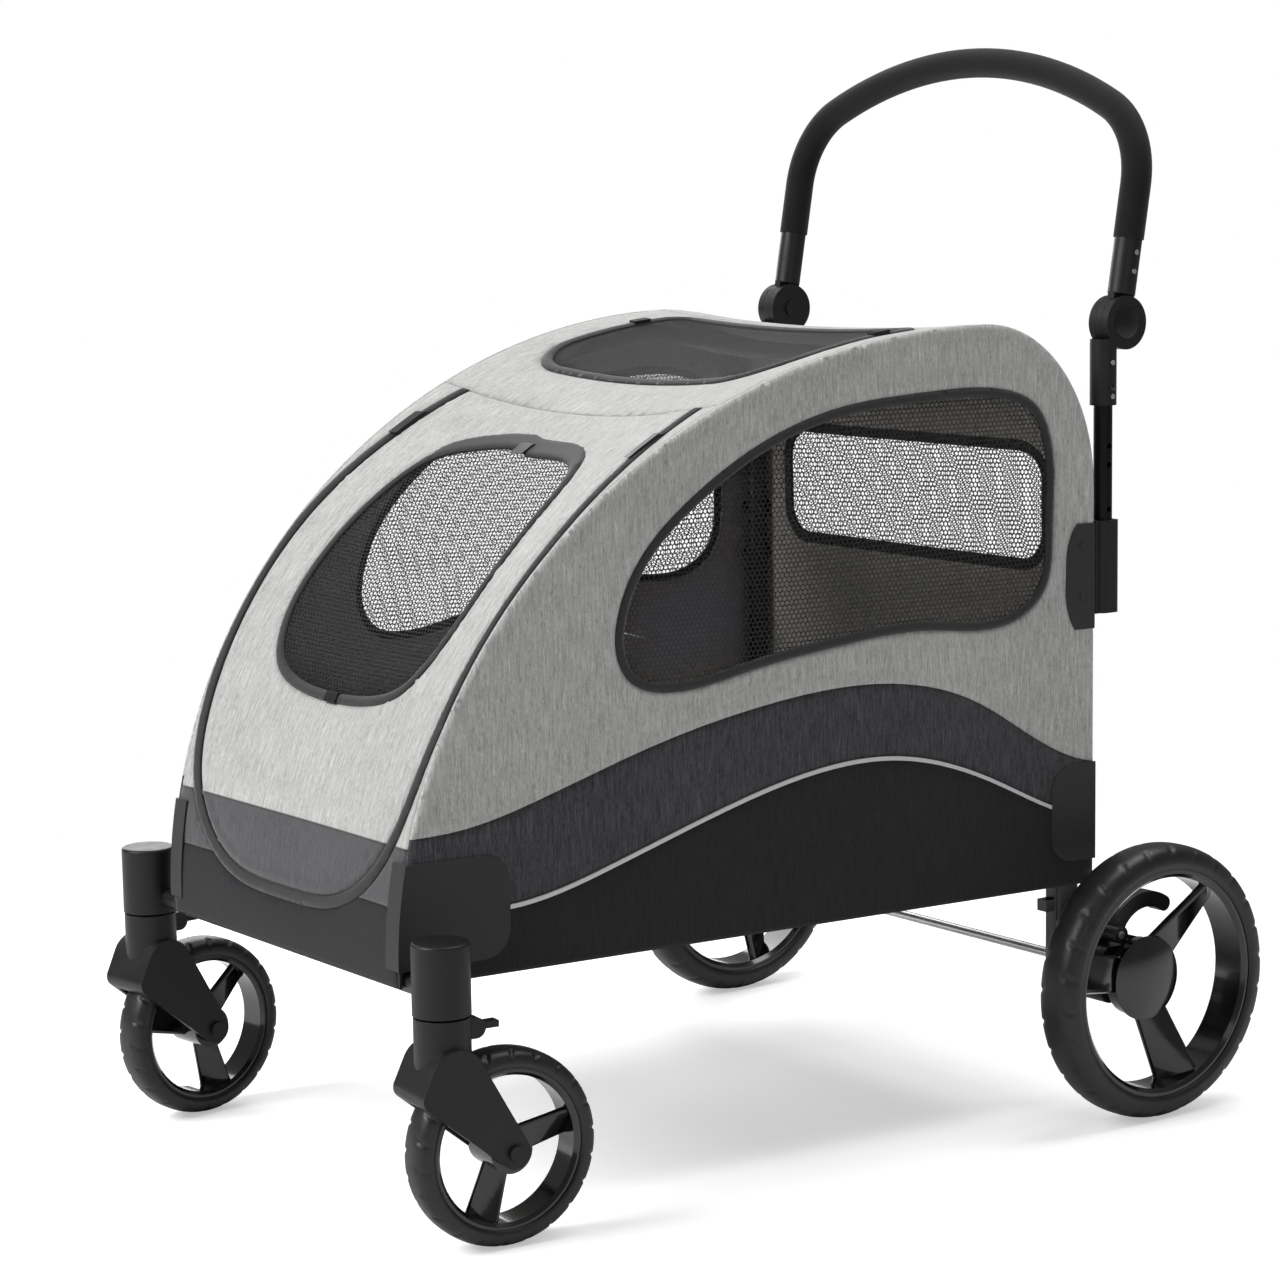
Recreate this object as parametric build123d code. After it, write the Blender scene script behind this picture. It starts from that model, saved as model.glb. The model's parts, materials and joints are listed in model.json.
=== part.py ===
"""Pet stroller: a soft cabin on a tube frame with four wheels and a telescopic push handle.

Frame: +Z up, the stroller travels towards -Y, +X is its left side. The origin is on the
ground, under the middle of the whole stroller. All sizes are millimetres.
"""

import os
from math import acos, asin, atan2, cos, degrees, hypot, radians, sin, sqrt

from build123d import *

# ---------------------------------------------------------------- wheels and stance
REAR_WHEEL_DIAMETER = 280.0
REAR_TYRE_WIDTH = 48.0
REAR_WHEEL_X = 348.0  # middle of each rear wheel
REAR_AXLE_Y = 351.0
REAR_AXLE_DIAMETER = 10.0
FRONT_WHEEL_DIAMETER = 183.0
FRONT_TYRE_WIDTH = 39.0
CASTER_AHEAD = 9.0  # caster pivot ahead of the front beam
CASTER_X = 274.5
CASTER_TRAIL = 55.6
CASTER_REST_TURN = {"left": 5.9, "right": 7.1}  # how far each caster stands turned, degrees
TYRE_DEPTH = 24.0  # rubber from tread to bead
RIM_DEPTH = 8.0
SPOKE_COUNT = 3

# ---------------------------------------------------------------- cabin shape
CROWN_Y = REAR_AXLE_Y - 152.0  # highest line of the roof
CROWN_Z = 805.0
CROWN_HALF_WIDTH = 267.0
SIDE_TAPER = 0.0821  # each side panel leans in by this much per mm towards the front
FRONT_REACH = 657.0  # crown to front face
FRONT_RISE = 556.0  # height of the front quarter ellipse
REAR_REACH = 135.0
REAR_RISE = 165.0
CABIN_BOTTOM_Z = 232.0
CLOTH = 3.0  # padded cloth thickness
SEAM_GAP = 0.5  # between neighbouring cloth panels
ROOF_SAG = 20.0  # how far roof and front cloth hang in between the side arches
CROWN_SAG = 12.0
REAR_SAG = 3.0

# ---------------------------------------------------------------- frame tubes
TUBE_DIAMETER = 20.0
TUBE_WALL = 1.5
ARCH_INSET = 14.5  # arch tube axis inside the side panel's outer face at the front foot
FRONT_PIVOT_HEIGHT = 285.0
REAR_PIVOT_Z = 325.0
PIVOT_PIN_DIAMETER = 8.0
PIN_CLEARANCE = 0.05  # radial, for every pin and axle in its bore

# ---------------------------------------------------------------- handle
POST_X = 270.0
POST_Y = REAR_AXLE_Y + 3.0
POST_DIAMETER = 19.0
POST_CLEARANCE = 0.1  # radial, for the post sliding in its bracket
SLEEVE_DIAMETER = 27.0
BRACKET_BOTTOM_Z = 508.0
BRACKET_TOP_Z = 602.0
SLEEVE_BOTTOM_Z = 718.0
KNUCKLE_Y = REAR_AXLE_Y + 22.5
KNUCKLE_Z = 800.0
KNUCKLE_DIAMETER = 53.8
HANDLE_LEAN = 10.0  # degrees back from upright
ARM_LENGTH = 85.0  # knuckle axis to the end of the foam grip
HANDLE_REACH = 270.0  # knuckle axis to the top of the handle tube's centre line
HANDLE_TUBE_DIAMETER = 22.0
GRIP_DIAMETER = 31.0

UPRIGHT_X = 252.5
REAR_TUBE_INSET = 16.0  # upright's axis inside the rear cloth's outer face
TOP_TUBE_INSET = 18.0
ARCH_TUBE_INSET = 21.0  # front arch's axis inside the front and roof cloth's edge
ARCH_TOP_X = 230.5
ARCH_TOP_ANGLE = 88.0  # where the arch ends on the front curve, just before the crown
TOP_BAR_Y = CROWN_Y + 14.0
WELD = 0.5  # bead height where two frame tubes meet
TOP_BAR_SAG = 25.0  # both cross bars bow down under the roof cloth
ARCH_BAR_SAG = 16.0
RAIL_Z = 244.0
RAIL_INSET = 15.0
RAIL_END_MARGIN = 18.0  # from the cabin's front and rear faces to the ends of the rails
BEAM_MARGIN = 14.0  # from the cabin's front face to the front beam
BEAM_Z = 236.0
BEAM_REACH = 250.0  # the front beam ends inside the caster housings
BOSS_DIAMETER = 14.0
BOSS_HOLE_CLEARANCE = 1.5
BRACKET_BOSS_Z = (BRACKET_BOTTOM_Z + 20.0, BRACKET_BOTTOM_Z + 71.0)
RIVET_DIAMETER = 7.0

OUT = "parts"
SIDES = {"left": 1, "right": -1}
SLANT = sqrt(1 + SIDE_TAPER**2)  # length along a side panel per mm of Y
FRONT_FACE_Y = CROWN_Y - FRONT_REACH
REAR_FACE_Y = CROWN_Y + REAR_REACH
RAIL_FRONT_Y = FRONT_FACE_Y + RAIL_END_MARGIN
RAIL_REAR_Y = REAR_FACE_Y - RAIL_END_MARGIN
BEAM_Y = FRONT_FACE_Y + BEAM_MARGIN
FRONT_SPRING_Z = CROWN_Z - FRONT_RISE  # where the front curve starts
REAR_SPRING_Z = CROWN_Z - REAR_RISE
TUBE_RADIUS = TUBE_DIAMETER / 2
POST_RADIUS = POST_DIAMETER / 2
UPRIGHT_Y = REAR_FACE_Y - REAR_TUBE_INSET

os.makedirs(OUT, exist_ok=True)


def save(name, *solids):
    """Write one sub-part, a single solid or a group of like ones."""
    shapes = [s for group in solids for s in (group if isinstance(group, (list, tuple)) else [group])]
    whole = shapes[0] if len(shapes) == 1 else Compound(children=[one for s in shapes for one in s.solids()])
    export_step(whole, f"{OUT}/{name}.step")


def half_width(y, inset=0.0):
    """Distance from the middle plane to a side panel's outer face."""
    return CROWN_HALF_WIDTH + SIDE_TAPER * (y - CROWN_Y) - inset


def side_plane(side):
    """Plane of a side panel's outer face: local x runs rearwards along it, local y is up."""
    return Plane(
        origin=(side * half_width(0), 0, 0),
        x_dir=(side * SIDE_TAPER, 1, 0),
        z_dir=(1, -side * SIDE_TAPER, 0),
    )


def along(y):
    """Local x on a side plane for a place Y in the stroller's frame."""
    return y * SLANT


def tube(path, outer, bore=0.0):
    """Round tube, or a solid bar without a bore, along a wire."""
    start = Plane(origin=path @ 0, z_dir=path % 0)
    section = Circle(outer / 2) - Circle(bore / 2) if bore else Circle(outer / 2)
    return sweep(start * section, path=path)


def rod_x(diameter, x_low, x_high, y, z):
    """Round bar along X between two X values."""
    middle = Pos((x_low + x_high) / 2, y, z) * Rot(0, 90, 0)
    return middle * Cylinder(diameter / 2, abs(x_high - x_low))


def block(low, high):
    """Box from its lowest to its highest corner."""
    size = [b - a for a, b in zip(low, high)]
    return Pos(*[(a + b) / 2 for a, b in zip(low, high)]) * Box(*size)


def mirrored(shape):
    """The same piece for the other side of the stroller."""
    return mirror(shape, about=Plane.YZ)


# ================================================================ cabin cloth
# The lower edge of the charcoal band carries a piping cord, its upper edge is a seam.
PIPING_LINE = [(-458, 303), (-343, 296), (-236, 320), (-110, 360), (9, 387), (81, 389), (206, 353), (334, 302)]
BAND_LINE = [(-458, 367), (-391, 370), (-307, 390), (-185, 427), (-60, 453), (82, 460), (183, 434), (334, 357)]
LINE_OVERRUN = 40.0  # the cutting curves run past the panel's edges
WINDOW_LINE = [
    (-226, 540), (-199, 603), (-134, 662), (-70, 700), (26, 732), (132, 742), (215, 741), (262, 722),
    (282, 675), (282, 600), (271, 536), (238, 511), (131, 509), (22, 503), (-80, 488), (-170, 476), (-212, 490),
]
WINDOW_BINDING = 9.0
BINDING_THICKNESS = 5.0
MESH_THICKNESS = 1.5


def inset_line(points, inset, closed=True):
    """Each point of an outline, drawn clockwise, moved inwards."""
    moved = []
    last = len(points) - 1
    for i, (u, v) in enumerate(points):
        before = points[i - 1] if closed or i else points[0]
        after = points[(i + 1) % len(points)] if closed or i < last else points[last]
        du, dv = after[0] - before[0], after[1] - before[1]
        length = hypot(du, dv)
        moved.append((u + inset * dv / length, v - inset * du / length))
    return moved


def side_outline(inset=0.0):
    """Outline of a side panel, drawn on its own plane."""
    centre = along(CROWN_Y)
    front = (FRONT_REACH - inset) * SLANT
    rear = (REAR_REACH - inset) * SLANT
    crown = CROWN_Z - inset
    bottom = CABIN_BOTTOM_Z
    with BuildLine() as line:
        EllipticalCenterArc((centre, REAR_SPRING_Z), rear, crown - REAR_SPRING_Z, arc_size=90)
        EllipticalCenterArc((centre, FRONT_SPRING_Z), front, crown - FRONT_SPRING_Z, 90, arc_size=90)
        Line((centre - front, FRONT_SPRING_Z), (centre - front, bottom))
        Line((centre - front, bottom), (centre + rear, bottom))
        Line((centre + rear, bottom), (centre + rear, REAR_SPRING_Z))
    return make_face(line.line)


def side_strip(lower, upper):
    """The part of the side plane between two wavy lines, or below or above one."""
    low, high = CABIN_BOTTOM_Z - LINE_OVERRUN, CROWN_Z + LINE_OVERRUN

    def points(line, level):
        if line is None:
            return [(along(FRONT_FACE_Y) - LINE_OVERRUN, level), (along(REAR_FACE_Y) + LINE_OVERRUN, level)]
        first, last = line[0], line[-1]
        inner = [(along(y), z) for y, z in line]
        return [(along(first[0]) - LINE_OVERRUN, first[1]), *inner, (along(last[0]) + LINE_OVERRUN, last[1])]

    bottom, top = points(lower, low), points(upper, high)
    with BuildLine() as line:
        under = Spline(*bottom) if lower else Line(*bottom)
        over = Spline(*top) if upper else Line(*top)
        Line(under @ 0, over @ 0)
        Line(under @ 1, over @ 1)
    return make_face(line.line)


def shifted(line, rise):
    return [(y, z + rise) for y, z in line]


def side_solid(side, face, thickness=CLOTH, lift=0.0):
    """A flat piece on a side panel, from its outer face inwards."""
    return extrude(side_plane(side).offset(side * lift) * face, amount=-side * thickness)


def window_face(inset=0.0):
    points = [(along(y), z) for y, z in WINDOW_LINE]
    with BuildLine() as line:
        Spline(*inset_line(points, inset), periodic=True)
    return make_face(line.line)


# ---------------------------------------------------------------- front and roof cloth
SHEET_STATIONS = 9
DOOR_LINE = [(186, 765), (196, 730), (210, 640), (208, 540), (198, 440), (176, 362), (112, 305), (0, 291)]
ZIP_WIDTH = 12.0
DOOR_WINDOW_LINE = [(0, 696), (86, 693), (128, 678), (146, 640), (152, 590), (146, 530), (118, 486), (62, 466), (0, 462)]
ROOF_WINDOW_HALF_WIDTH = 205.0
ROOF_WINDOW_FRONT_Y = -38.0
ROOF_WINDOW_REAR_Y = 180.0
ROOF_WINDOW_CORNER = 70.0
ROOF_WINDOW_BINDING = 12.0
ROOF_SEAM_Y = -104.0  # seam between front and roof cloth
REAR_PANEL_TOP_Z = 290.0  # the fixed part of the rear cloth ends here
FRONT_PANEL_TOP_Z = 303.0  # and the fixed part of the front cloth here
SLIDER_LENGTH = 20.0
SLIDER_WIDTH = 11.0
SLIDER_HEIGHT = 3.5
DOOR_SLIDER = (206.0, 706.0)  # X and Z of each door zip's slider
ROOF_SLIDER = (199.0, 120.0)  # X and Y of each roof window slider
WINDOW_SLIDERS_Z = (690.5, 467.5)
CUT = 400.0  # reach of the cutting prisms


def sheet_section(y, z, normal, sag, top=0.0, thickness=CLOTH, width=None):
    """Cross-section of cloth hung between the two side panels, with the sag given at its middle."""
    w = half_width(y, CLOTH + SEAM_GAP) if width is None else width
    plane = Plane(origin=(0, y, z), x_dir=(1, 0, 0), z_dir=Vector(1, 0, 0).cross(Vector(0, *normal)))
    with BuildLine() as line:
        ThreePointArc((-w, top), (0, top - sag), (w, top))
        ThreePointArc((-w, top - thickness), (0, top - sag - thickness), (w, top - thickness))
        Line((-w, top), (-w, top - thickness))
        Line((w, top), (w, top - thickness))
    return plane * make_face(line.line)


def front_station(angle):
    """Point and outward normal of the front curve, from its foot (0) to the crown (90 degrees)."""
    a = radians(angle)
    y = CROWN_Y - FRONT_REACH * cos(a)
    z = FRONT_SPRING_Z + FRONT_RISE * sin(a)
    dy, dz = FRONT_REACH * sin(a), FRONT_RISE * cos(a)
    length = hypot(dy, dz)
    return y, z, (-dz / length, dy / length)


def rear_station(angle):
    """Point and outward normal of the rear curve, from the crown (90) down to the rear face (0)."""
    a = radians(angle)
    y = CROWN_Y + REAR_REACH * cos(a)
    z = REAR_SPRING_Z + REAR_RISE * sin(a)
    dy, dz = REAR_REACH * sin(a), -REAR_RISE * cos(a)
    length = hypot(dy, dz)
    return y, z, (-dz / length, dy / length)


def front_sag(angle):
    """Sag of the front and roof cloth: taut at the foot, deepest over the door, less at the crown."""
    rise = sin(radians(min(angle * 1.6, 90.0)))
    fall = max(angle - 60.0, 0.0) / 30.0
    return 1.0 + (ROOF_SAG - 1.0) * rise - (ROOF_SAG - CROWN_SAG) * fall**2


def front_sheet(top=0.0, thickness=CLOTH):
    """Cloth from the foot of the front face over the roof to the crown."""
    angles = [90.0 * i / (SHEET_STATIONS - 1) for i in range(SHEET_STATIONS)]
    sections = []
    for angle in angles:
        y, z, normal = front_station(angle)
        sections.append(sheet_section(y, z, normal, front_sag(angle), top, thickness))
    return loft(sections)


def front_foot():
    """Upright strip of cloth below the start of the front curve."""
    levels = (CABIN_BOTTOM_Z, FRONT_SPRING_Z)
    return loft([sheet_section(FRONT_FACE_Y, z, (-1, 0), front_sag(0)) for z in levels])


def rear_sheet(top=0.0, thickness=CLOTH):
    """Cloth from the crown down the back to the straight rear face."""
    sections = []
    for angle in (90.0, 70.0, 50.0, 30.0, 12.0, 0.0):
        y, z, normal = rear_station(angle)
        sag = REAR_SAG + (CROWN_SAG - REAR_SAG) * (angle / 90.0) ** 2
        sections.append(sheet_section(y, z, normal, sag, top, thickness))
    straight = [sections[-1], sheet_section(REAR_FACE_Y, CABIN_BOTTOM_Z, (1, 0), REAR_SAG, top, thickness)]
    return loft(sections) + loft(straight)


def door_face(inset=0.0):
    """The door's outline in the XZ plane, inside the zip."""
    points = [*DOOR_LINE, *[(-x, z) for x, z in reversed(DOOR_LINE[:-1])]]
    with BuildLine() as line:
        under = Spline(*inset_line(points, inset, closed=False))
        Line(under @ 0, under @ 1)
    return make_face(line.line)


def door_window_face(inset=0.0):
    half = DOOR_WINDOW_LINE
    points = [*half, *[(-x, z) for x, z in reversed(half[1:-1])]]
    with BuildLine() as line:
        Spline(*inset_line(points, inset), periodic=True)
    return make_face(line.line)


def front_prism(face):
    """Cutter along Y from an outline in the XZ plane."""
    return extrude(Plane(origin=(0, CROWN_Y, 0), x_dir=(1, 0, 0), z_dir=(0, -1, 0)) * face, amount=CUT * 2)


def roof_window_face(inset=0.0):
    """The roof window seen from above: round front corners, its rear edge near the crown."""
    width = 2 * (ROOF_WINDOW_HALF_WIDTH - inset)
    depth = ROOF_WINDOW_REAR_Y - ROOF_WINDOW_FRONT_Y - 2 * inset
    face = Pos(0, (ROOF_WINDOW_REAR_Y + ROOF_WINDOW_FRONT_Y) / 2) * Rectangle(width, depth)
    front = face.vertices().sort_by(Axis.Y)[:2]
    rear = face.vertices().sort_by(Axis.Y)[2:]
    face = fillet(front, ROOF_WINDOW_CORNER - inset)
    rear = face.vertices().sort_by(Axis.Y)[-2:]
    return fillet(rear, ROOF_WINDOW_CORNER / 2 - inset)


def roof_prism(face):
    return extrude(Plane.XY.offset(CROWN_Z - CUT / 2) * face, amount=CUT)


def bracket_boss_holes():
    """Clearance holes in the rear cloth where the handle brackets are bolted to the uprights."""
    radius = BOSS_DIAMETER / 2 + BOSS_HOLE_CLEARANCE
    hole = Rot(90, 0, 0) * Cylinder(radius, 4 * REAR_TUBE_INSET)
    return [Pos(s * UPRIGHT_X, REAR_FACE_Y, z) * hole for s in SIDES.values() for z in BRACKET_BOSS_Z]


def rivet_holes(side):
    """Clearance holes in a side panel for the rivets of the upright's patch."""
    hole = Rot(0, 90, 0) * Cylinder(RIVET_DIAMETER / 2 + BOSS_HOLE_CLEARANCE, 2 * UPRIGHT_X)
    return [Pos(side * 2 * UPRIGHT_X, UPRIGHT_Y, z) * hole for z in BRACKET_BOSS_Z]


def make_cloth():
    """All cloth of the cabin. The parts below the piping stay put, the rest folds with the frame."""
    outline = side_outline()
    window = window_face()
    lower_side = outline & side_strip(None, PIPING_LINE)
    band = outline & side_strip(shifted(PIPING_LINE, SEAM_GAP), BAND_LINE)
    upper = (outline & side_strip(shifted(BAND_LINE, SEAM_GAP), None)) - window
    mesh = window_face(WINDOW_BINDING)
    binding = window - mesh
    notch = block((-CUT, BEAM_Y - 11, CABIN_BOTTOM_Z - 1), (CUT, BEAM_Y + 11, BEAM_Z + 11))
    lower_panels = [side_solid(s, lower_side) - notch for s in SIDES.values()]
    bands = [side_solid(s, band) for s in SIDES.values()]
    save("lower_side_panels", lower_panels)
    save("side_bands", bands)
    save("side_panels", [side_solid(s, upper) - rivet_holes(s) for s in SIDES.values()])
    mesh_depth = (CLOTH - MESH_THICKNESS) / 2
    meshes = [side_solid(s, mesh, MESH_THICKNESS, -mesh_depth) for s in SIDES.values()]
    proud = (BINDING_THICKNESS - CLOTH) / 2
    bindings = [side_solid(s, binding, BINDING_THICKNESS, proud) for s in SIDES.values()]

    sheet = front_sheet()
    low, high = -CUT, CROWN_Z + CUT
    below_roof = block((-CUT, -2 * CUT, low), (CUT, ROOF_SEAM_Y, high))
    over_roof = block((-CUT, ROOF_SEAM_Y + SEAM_GAP, low), (CUT, CROWN_Y, high))
    foot_zone = block((-CUT, -2 * CUT, low), (CUT, ROOF_SEAM_Y, FRONT_PANEL_TOP_Z))
    door_hole = front_prism(door_face(-ZIP_WIDTH)) & below_roof
    zip_ring = (front_prism(door_face(-ZIP_WIDTH)) - front_prism(door_face())) & below_roof
    door_zone = front_prism(door_face(SEAM_GAP)) & below_roof
    door_window = front_prism(door_window_face())
    door_mesh = front_prism(door_window_face(WINDOW_BINDING))
    thick = front_sheet(proud, BINDING_THICKNESS)
    thin = front_sheet(-mesh_depth, MESH_THICKNESS)
    front = (sheet & below_roof) - door_hole
    lower_front = (front & foot_zone) + front_foot()
    front_rest = front - block((-CUT, -2 * CUT, low), (CUT, ROOF_SEAM_Y, FRONT_PANEL_TOP_Z + SEAM_GAP))
    save("front_surround", front_rest.solids())
    save("door_zip", (thick & zip_ring).solids())
    save("door_cloth", (sheet & door_zone) - door_window)
    save("door_window_binding", thick & (door_window - door_mesh))
    save("door_mesh", thin & door_mesh)

    roof_window = roof_prism(roof_window_face())
    roof_inner = roof_prism(roof_window_face(ROOF_WINDOW_BINDING))
    save("roof_cloth", (sheet & over_roof) - roof_window)
    meshes.append(thin & roof_inner)
    bindings.append(thick & (roof_window - roof_inner))
    save("mesh_windows", meshes)
    save("window_bindings", bindings)

    slider_sheet = front_sheet(proud + SLIDER_HEIGHT + 0.05, SLIDER_HEIGHT)
    long, wide = SLIDER_LENGTH, SLIDER_WIDTH
    on_zip = [front_prism(Pos(s * DOOR_SLIDER[0], DOOR_SLIDER[1]) * Rectangle(wide, long)) for s in SIDES.values()]
    on_roof = [roof_prism(Pos(s * ROOF_SLIDER[0], ROOF_SLIDER[1]) * Rectangle(wide, long)) for s in SIDES.values()]
    on_window = [front_prism(Pos(0, z) * Rectangle(long, wide - 2)) for z in WINDOW_SLIDERS_Z]
    save("zip_sliders", [slider_sheet & p for p in on_zip + on_roof])
    save("window_sliders", [slider_sheet & p for p in on_window])

    rear = rear_sheet()
    rear_low = block((-CUT, CROWN_Y, low), (CUT, 2 * CUT, REAR_PANEL_TOP_Z))
    rear_high = block((-CUT, CROWN_Y + SEAM_GAP, REAR_PANEL_TOP_Z + SEAM_GAP), (CUT, 2 * CUT, high))
    save("lower_end_panels", lower_front, rear & rear_low)
    save("rear_cloth", (rear & rear_high) - bracket_boss_holes())
    return [*lower_panels, *bands, sheet, front_foot(), rear]


CORNER_CLOTH = make_cloth()


# ---------------------------------------------------------------- piping and corner patches
PIPING_WIDTH = 4.0
PIPING_HEIGHT = 2.5
PATCH_THICKNESS = 2.0
PATCH_WRAP = 22.0  # how far a patch turns round the cabin's corner
PATCH_CORNER = 28.0
FRONT_PATCH = ((-458, 248), (-344, 345))  # lowest and highest corner, Y and Z
REAR_PATCH = ((280, 257), (334, 357))


def patch_region(low, high):
    """Patch area on the side plane, running past the cabin's edge on the corner's side."""
    front = high[0] < 0
    y_low = low[0] - (LINE_OVERRUN if front else 0)
    y_high = high[0] + (0 if front else LINE_OVERRUN)
    width = along(y_high) - along(y_low)
    centre = ((along(y_low) + along(y_high)) / 2, (low[1] + high[1]) / 2)
    face = Pos(*centre) * Rectangle(width, high[1] - low[1])
    edge = face.vertices().sort_by(Axis.X)
    return fillet(edge[-2:] if front else edge[:2], PATCH_CORNER)


def corner_patch(side, low, high):
    region = patch_region(low, high)
    outside = side_outline(-PATCH_THICKNESS) & region
    plate = side_solid(side, outside, PATCH_THICKNESS, PATCH_THICKNESS)
    start = side_plane(side).offset(side * PATCH_THICKNESS)
    wrap = extrude(start * (outside - side_outline()), amount=PATCH_WRAP, dir=(-side, 0, 0))
    return (plate + wrap - CORNER_CLOTH).solids().sort_by(SortBy.VOLUME)[-1]


def make_trim():
    strip = side_outline() & side_strip(shifted(PIPING_LINE, -PIPING_WIDTH), PIPING_LINE)
    for corners in (FRONT_PATCH, REAR_PATCH):
        strip = strip - patch_region(*corners)
    save("side_piping", [side_solid(s, strip, PIPING_HEIGHT, PIPING_HEIGHT) for s in SIDES.values()])
    patches = [corner_patch(s, *corners) for s in SIDES.values() for corners in (FRONT_PATCH, REAR_PATCH)]
    save("corner_patches", patches)


make_trim()


# ================================================================ underframe
FRAME_PLATE = 5.0  # thickness of the hinge plates
HINGE_PLATE_LENGTH = 24.0
HINGE_GAP = 0.7  # beside each swinging tube
EYE_DIAMETER = 22.0
EYE_HALF = 9.0
LEG_WIDTH = 19.5
LEG_DEPTH = 33.0
LEG_OUTER_X = 270.5
LEG_FRONT_Y = REAR_AXLE_Y - 60.0
LEG_BOTTOM_Z = 118.0
LEG_TAB_Z = 206.0
AXLE_Z = REAR_WHEEL_DIAMETER / 2
AXLE_END_X = 334.0
MIDDLE_TUBE_Y = -60.0
REAR_TUBE_Y = 308.0
BRAKE_PIVOT_Y = REAR_AXLE_Y - 18
BRAKE_PIVOT_Z = AXLE_Z + 44.0
BRAKE_EAR_X = (284.0, 295.4)
PAWL_X = (317.4, 321.8)


def arch_x(y):
    """The front arch leans in towards its foot, staying inside the rear uprights."""
    foot = half_width(FRONT_FACE_Y + ARCH_TUBE_INSET, ARCH_INSET)
    share = (y - FRONT_FACE_Y - ARCH_TUBE_INSET) / (CROWN_Y - FRONT_FACE_Y - ARCH_TUBE_INSET)
    return foot + share * (ARCH_TOP_X - foot)


def arch_point(angle):
    y, z, normal = front_station(angle)
    y, z = y - normal[0] * ARCH_TUBE_INSET, z - normal[1] * ARCH_TUBE_INSET
    return arch_x(y), y, z


FRONT_PIVOT_ANGLE = degrees(asin((FRONT_PIVOT_HEIGHT - FRONT_SPRING_Z) / FRONT_RISE))
FRONT_PIVOT_X, FRONT_PIVOT_Y, FRONT_PIVOT_Z = arch_point(FRONT_PIVOT_ANGLE)


def rail_x(y):
    return half_width(y, RAIL_INSET)


def hinge_plate(x_low, x_high, y, z_top):
    half = HINGE_PLATE_LENGTH / 2
    plate = block((x_low, y - half, RAIL_Z - TUBE_RADIUS / 2), (x_high, y + half, z_top))
    return plate + rod_x(HINGE_PLATE_LENGTH, x_low, x_high, y, z_top)


def make_underframe():
    rail = Line((rail_x(RAIL_FRONT_Y), RAIL_FRONT_Y, RAIL_Z), (rail_x(RAIL_REAR_Y), RAIL_REAR_Y, RAIL_Z))
    front_low = FRONT_PIVOT_X - TUBE_RADIUS - HINGE_GAP - FRAME_PLATE
    front_plate = hinge_plate(front_low, front_low + FRAME_PLATE, FRONT_PIVOT_Y, FRONT_PIVOT_Z)
    rear_low = UPRIGHT_X + TUBE_RADIUS + HINGE_GAP
    rear_plate = hinge_plate(rear_low, rear_low + FRAME_PLATE, UPRIGHT_Y, REAR_PIVOT_Z)
    half = tube(rail, TUBE_DIAMETER) + front_plate + rear_plate
    pin_bores = [
        rod_x(PIVOT_PIN_DIAMETER, -CUT, CUT, FRONT_PIVOT_Y, FRONT_PIVOT_Z),
        rod_x(PIVOT_PIN_DIAMETER, -CUT, CUT, UPRIGHT_Y, REAR_PIVOT_Z),
    ]
    frame = rod_x(TUBE_DIAMETER, -BEAM_REACH, BEAM_REACH, BEAM_Y, BEAM_Z) + half + mirrored(half)
    for y in (MIDDLE_TUBE_Y, REAR_TUBE_Y):
        frame += rod_x(TUBE_DIAMETER, -rail_x(y), rail_x(y), y, RAIL_Z)
    frame = frame - pin_bores
    save("base_frame", frame)

    pin_head = 3.0
    front_pin = rod_x(PIVOT_PIN_DIAMETER, front_low, FRONT_PIVOT_X + TUBE_RADIUS, FRONT_PIVOT_Y, FRONT_PIVOT_Z)
    front_pin += rod_x(PIVOT_PIN_DIAMETER + 6, front_low - pin_head, front_low, FRONT_PIVOT_Y, FRONT_PIVOT_Z)
    rear_inner = UPRIGHT_X - TUBE_RADIUS - HINGE_GAP
    rear_pin = rod_x(PIVOT_PIN_DIAMETER, rear_inner, rear_low + FRAME_PLATE, UPRIGHT_Y, REAR_PIVOT_Z)
    rear_pin += rod_x(PIVOT_PIN_DIAMETER + 6, rear_inner - pin_head, rear_inner, UPRIGHT_Y, REAR_PIVOT_Z)
    brake_pin = rod_x(PIVOT_PIN_DIAMETER, BRAKE_EAR_X[0], PAWL_X[1] + 0.5, BRAKE_PIVOT_Y, BRAKE_PIVOT_Z)
    pins = [front_pin, rear_pin, brake_pin]
    save("hinge_pins", pins, [mirrored(pin) for pin in pins])

    leg = block(
        (LEG_OUTER_X - LEG_WIDTH, LEG_FRONT_Y, LEG_BOTTOM_Z), (LEG_OUTER_X, LEG_FRONT_Y + LEG_DEPTH, RAIL_Z)
    )
    leg = fillet(leg.edges().filter_by(Axis.Z), 6)
    tab = block(
        (LEG_OUTER_X - LEG_WIDTH + 3, LEG_FRONT_Y - 11, LEG_TAB_Z),
        (LEG_OUTER_X - 3, LEG_FRONT_Y + 4, LEG_TAB_Z + 12),
    )
    leg = ((leg + tab) - frame).solids().sort_by(SortBy.VOLUME)[-1]
    save("rear_legs", leg, mirrored(leg))
    save("rear_axle", rod_x(REAR_AXLE_DIAMETER, -AXLE_END_X, AXLE_END_X, REAR_AXLE_Y, AXLE_Z))
    return frame


UNDERFRAME = make_underframe()


# ---------------------------------------------------------------- floor
FLOOR_THICKNESS = 5.0
FLOOR_INSET = 13.0
CUSHION_THICKNESS = 30.0
CUSHION_INSET = 26.0
CUSHION_EDGE = 11.0
FLOOR_MARGIN = (40.0, 34.0)  # from the front and rear faces of the cabin to the floor board


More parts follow.
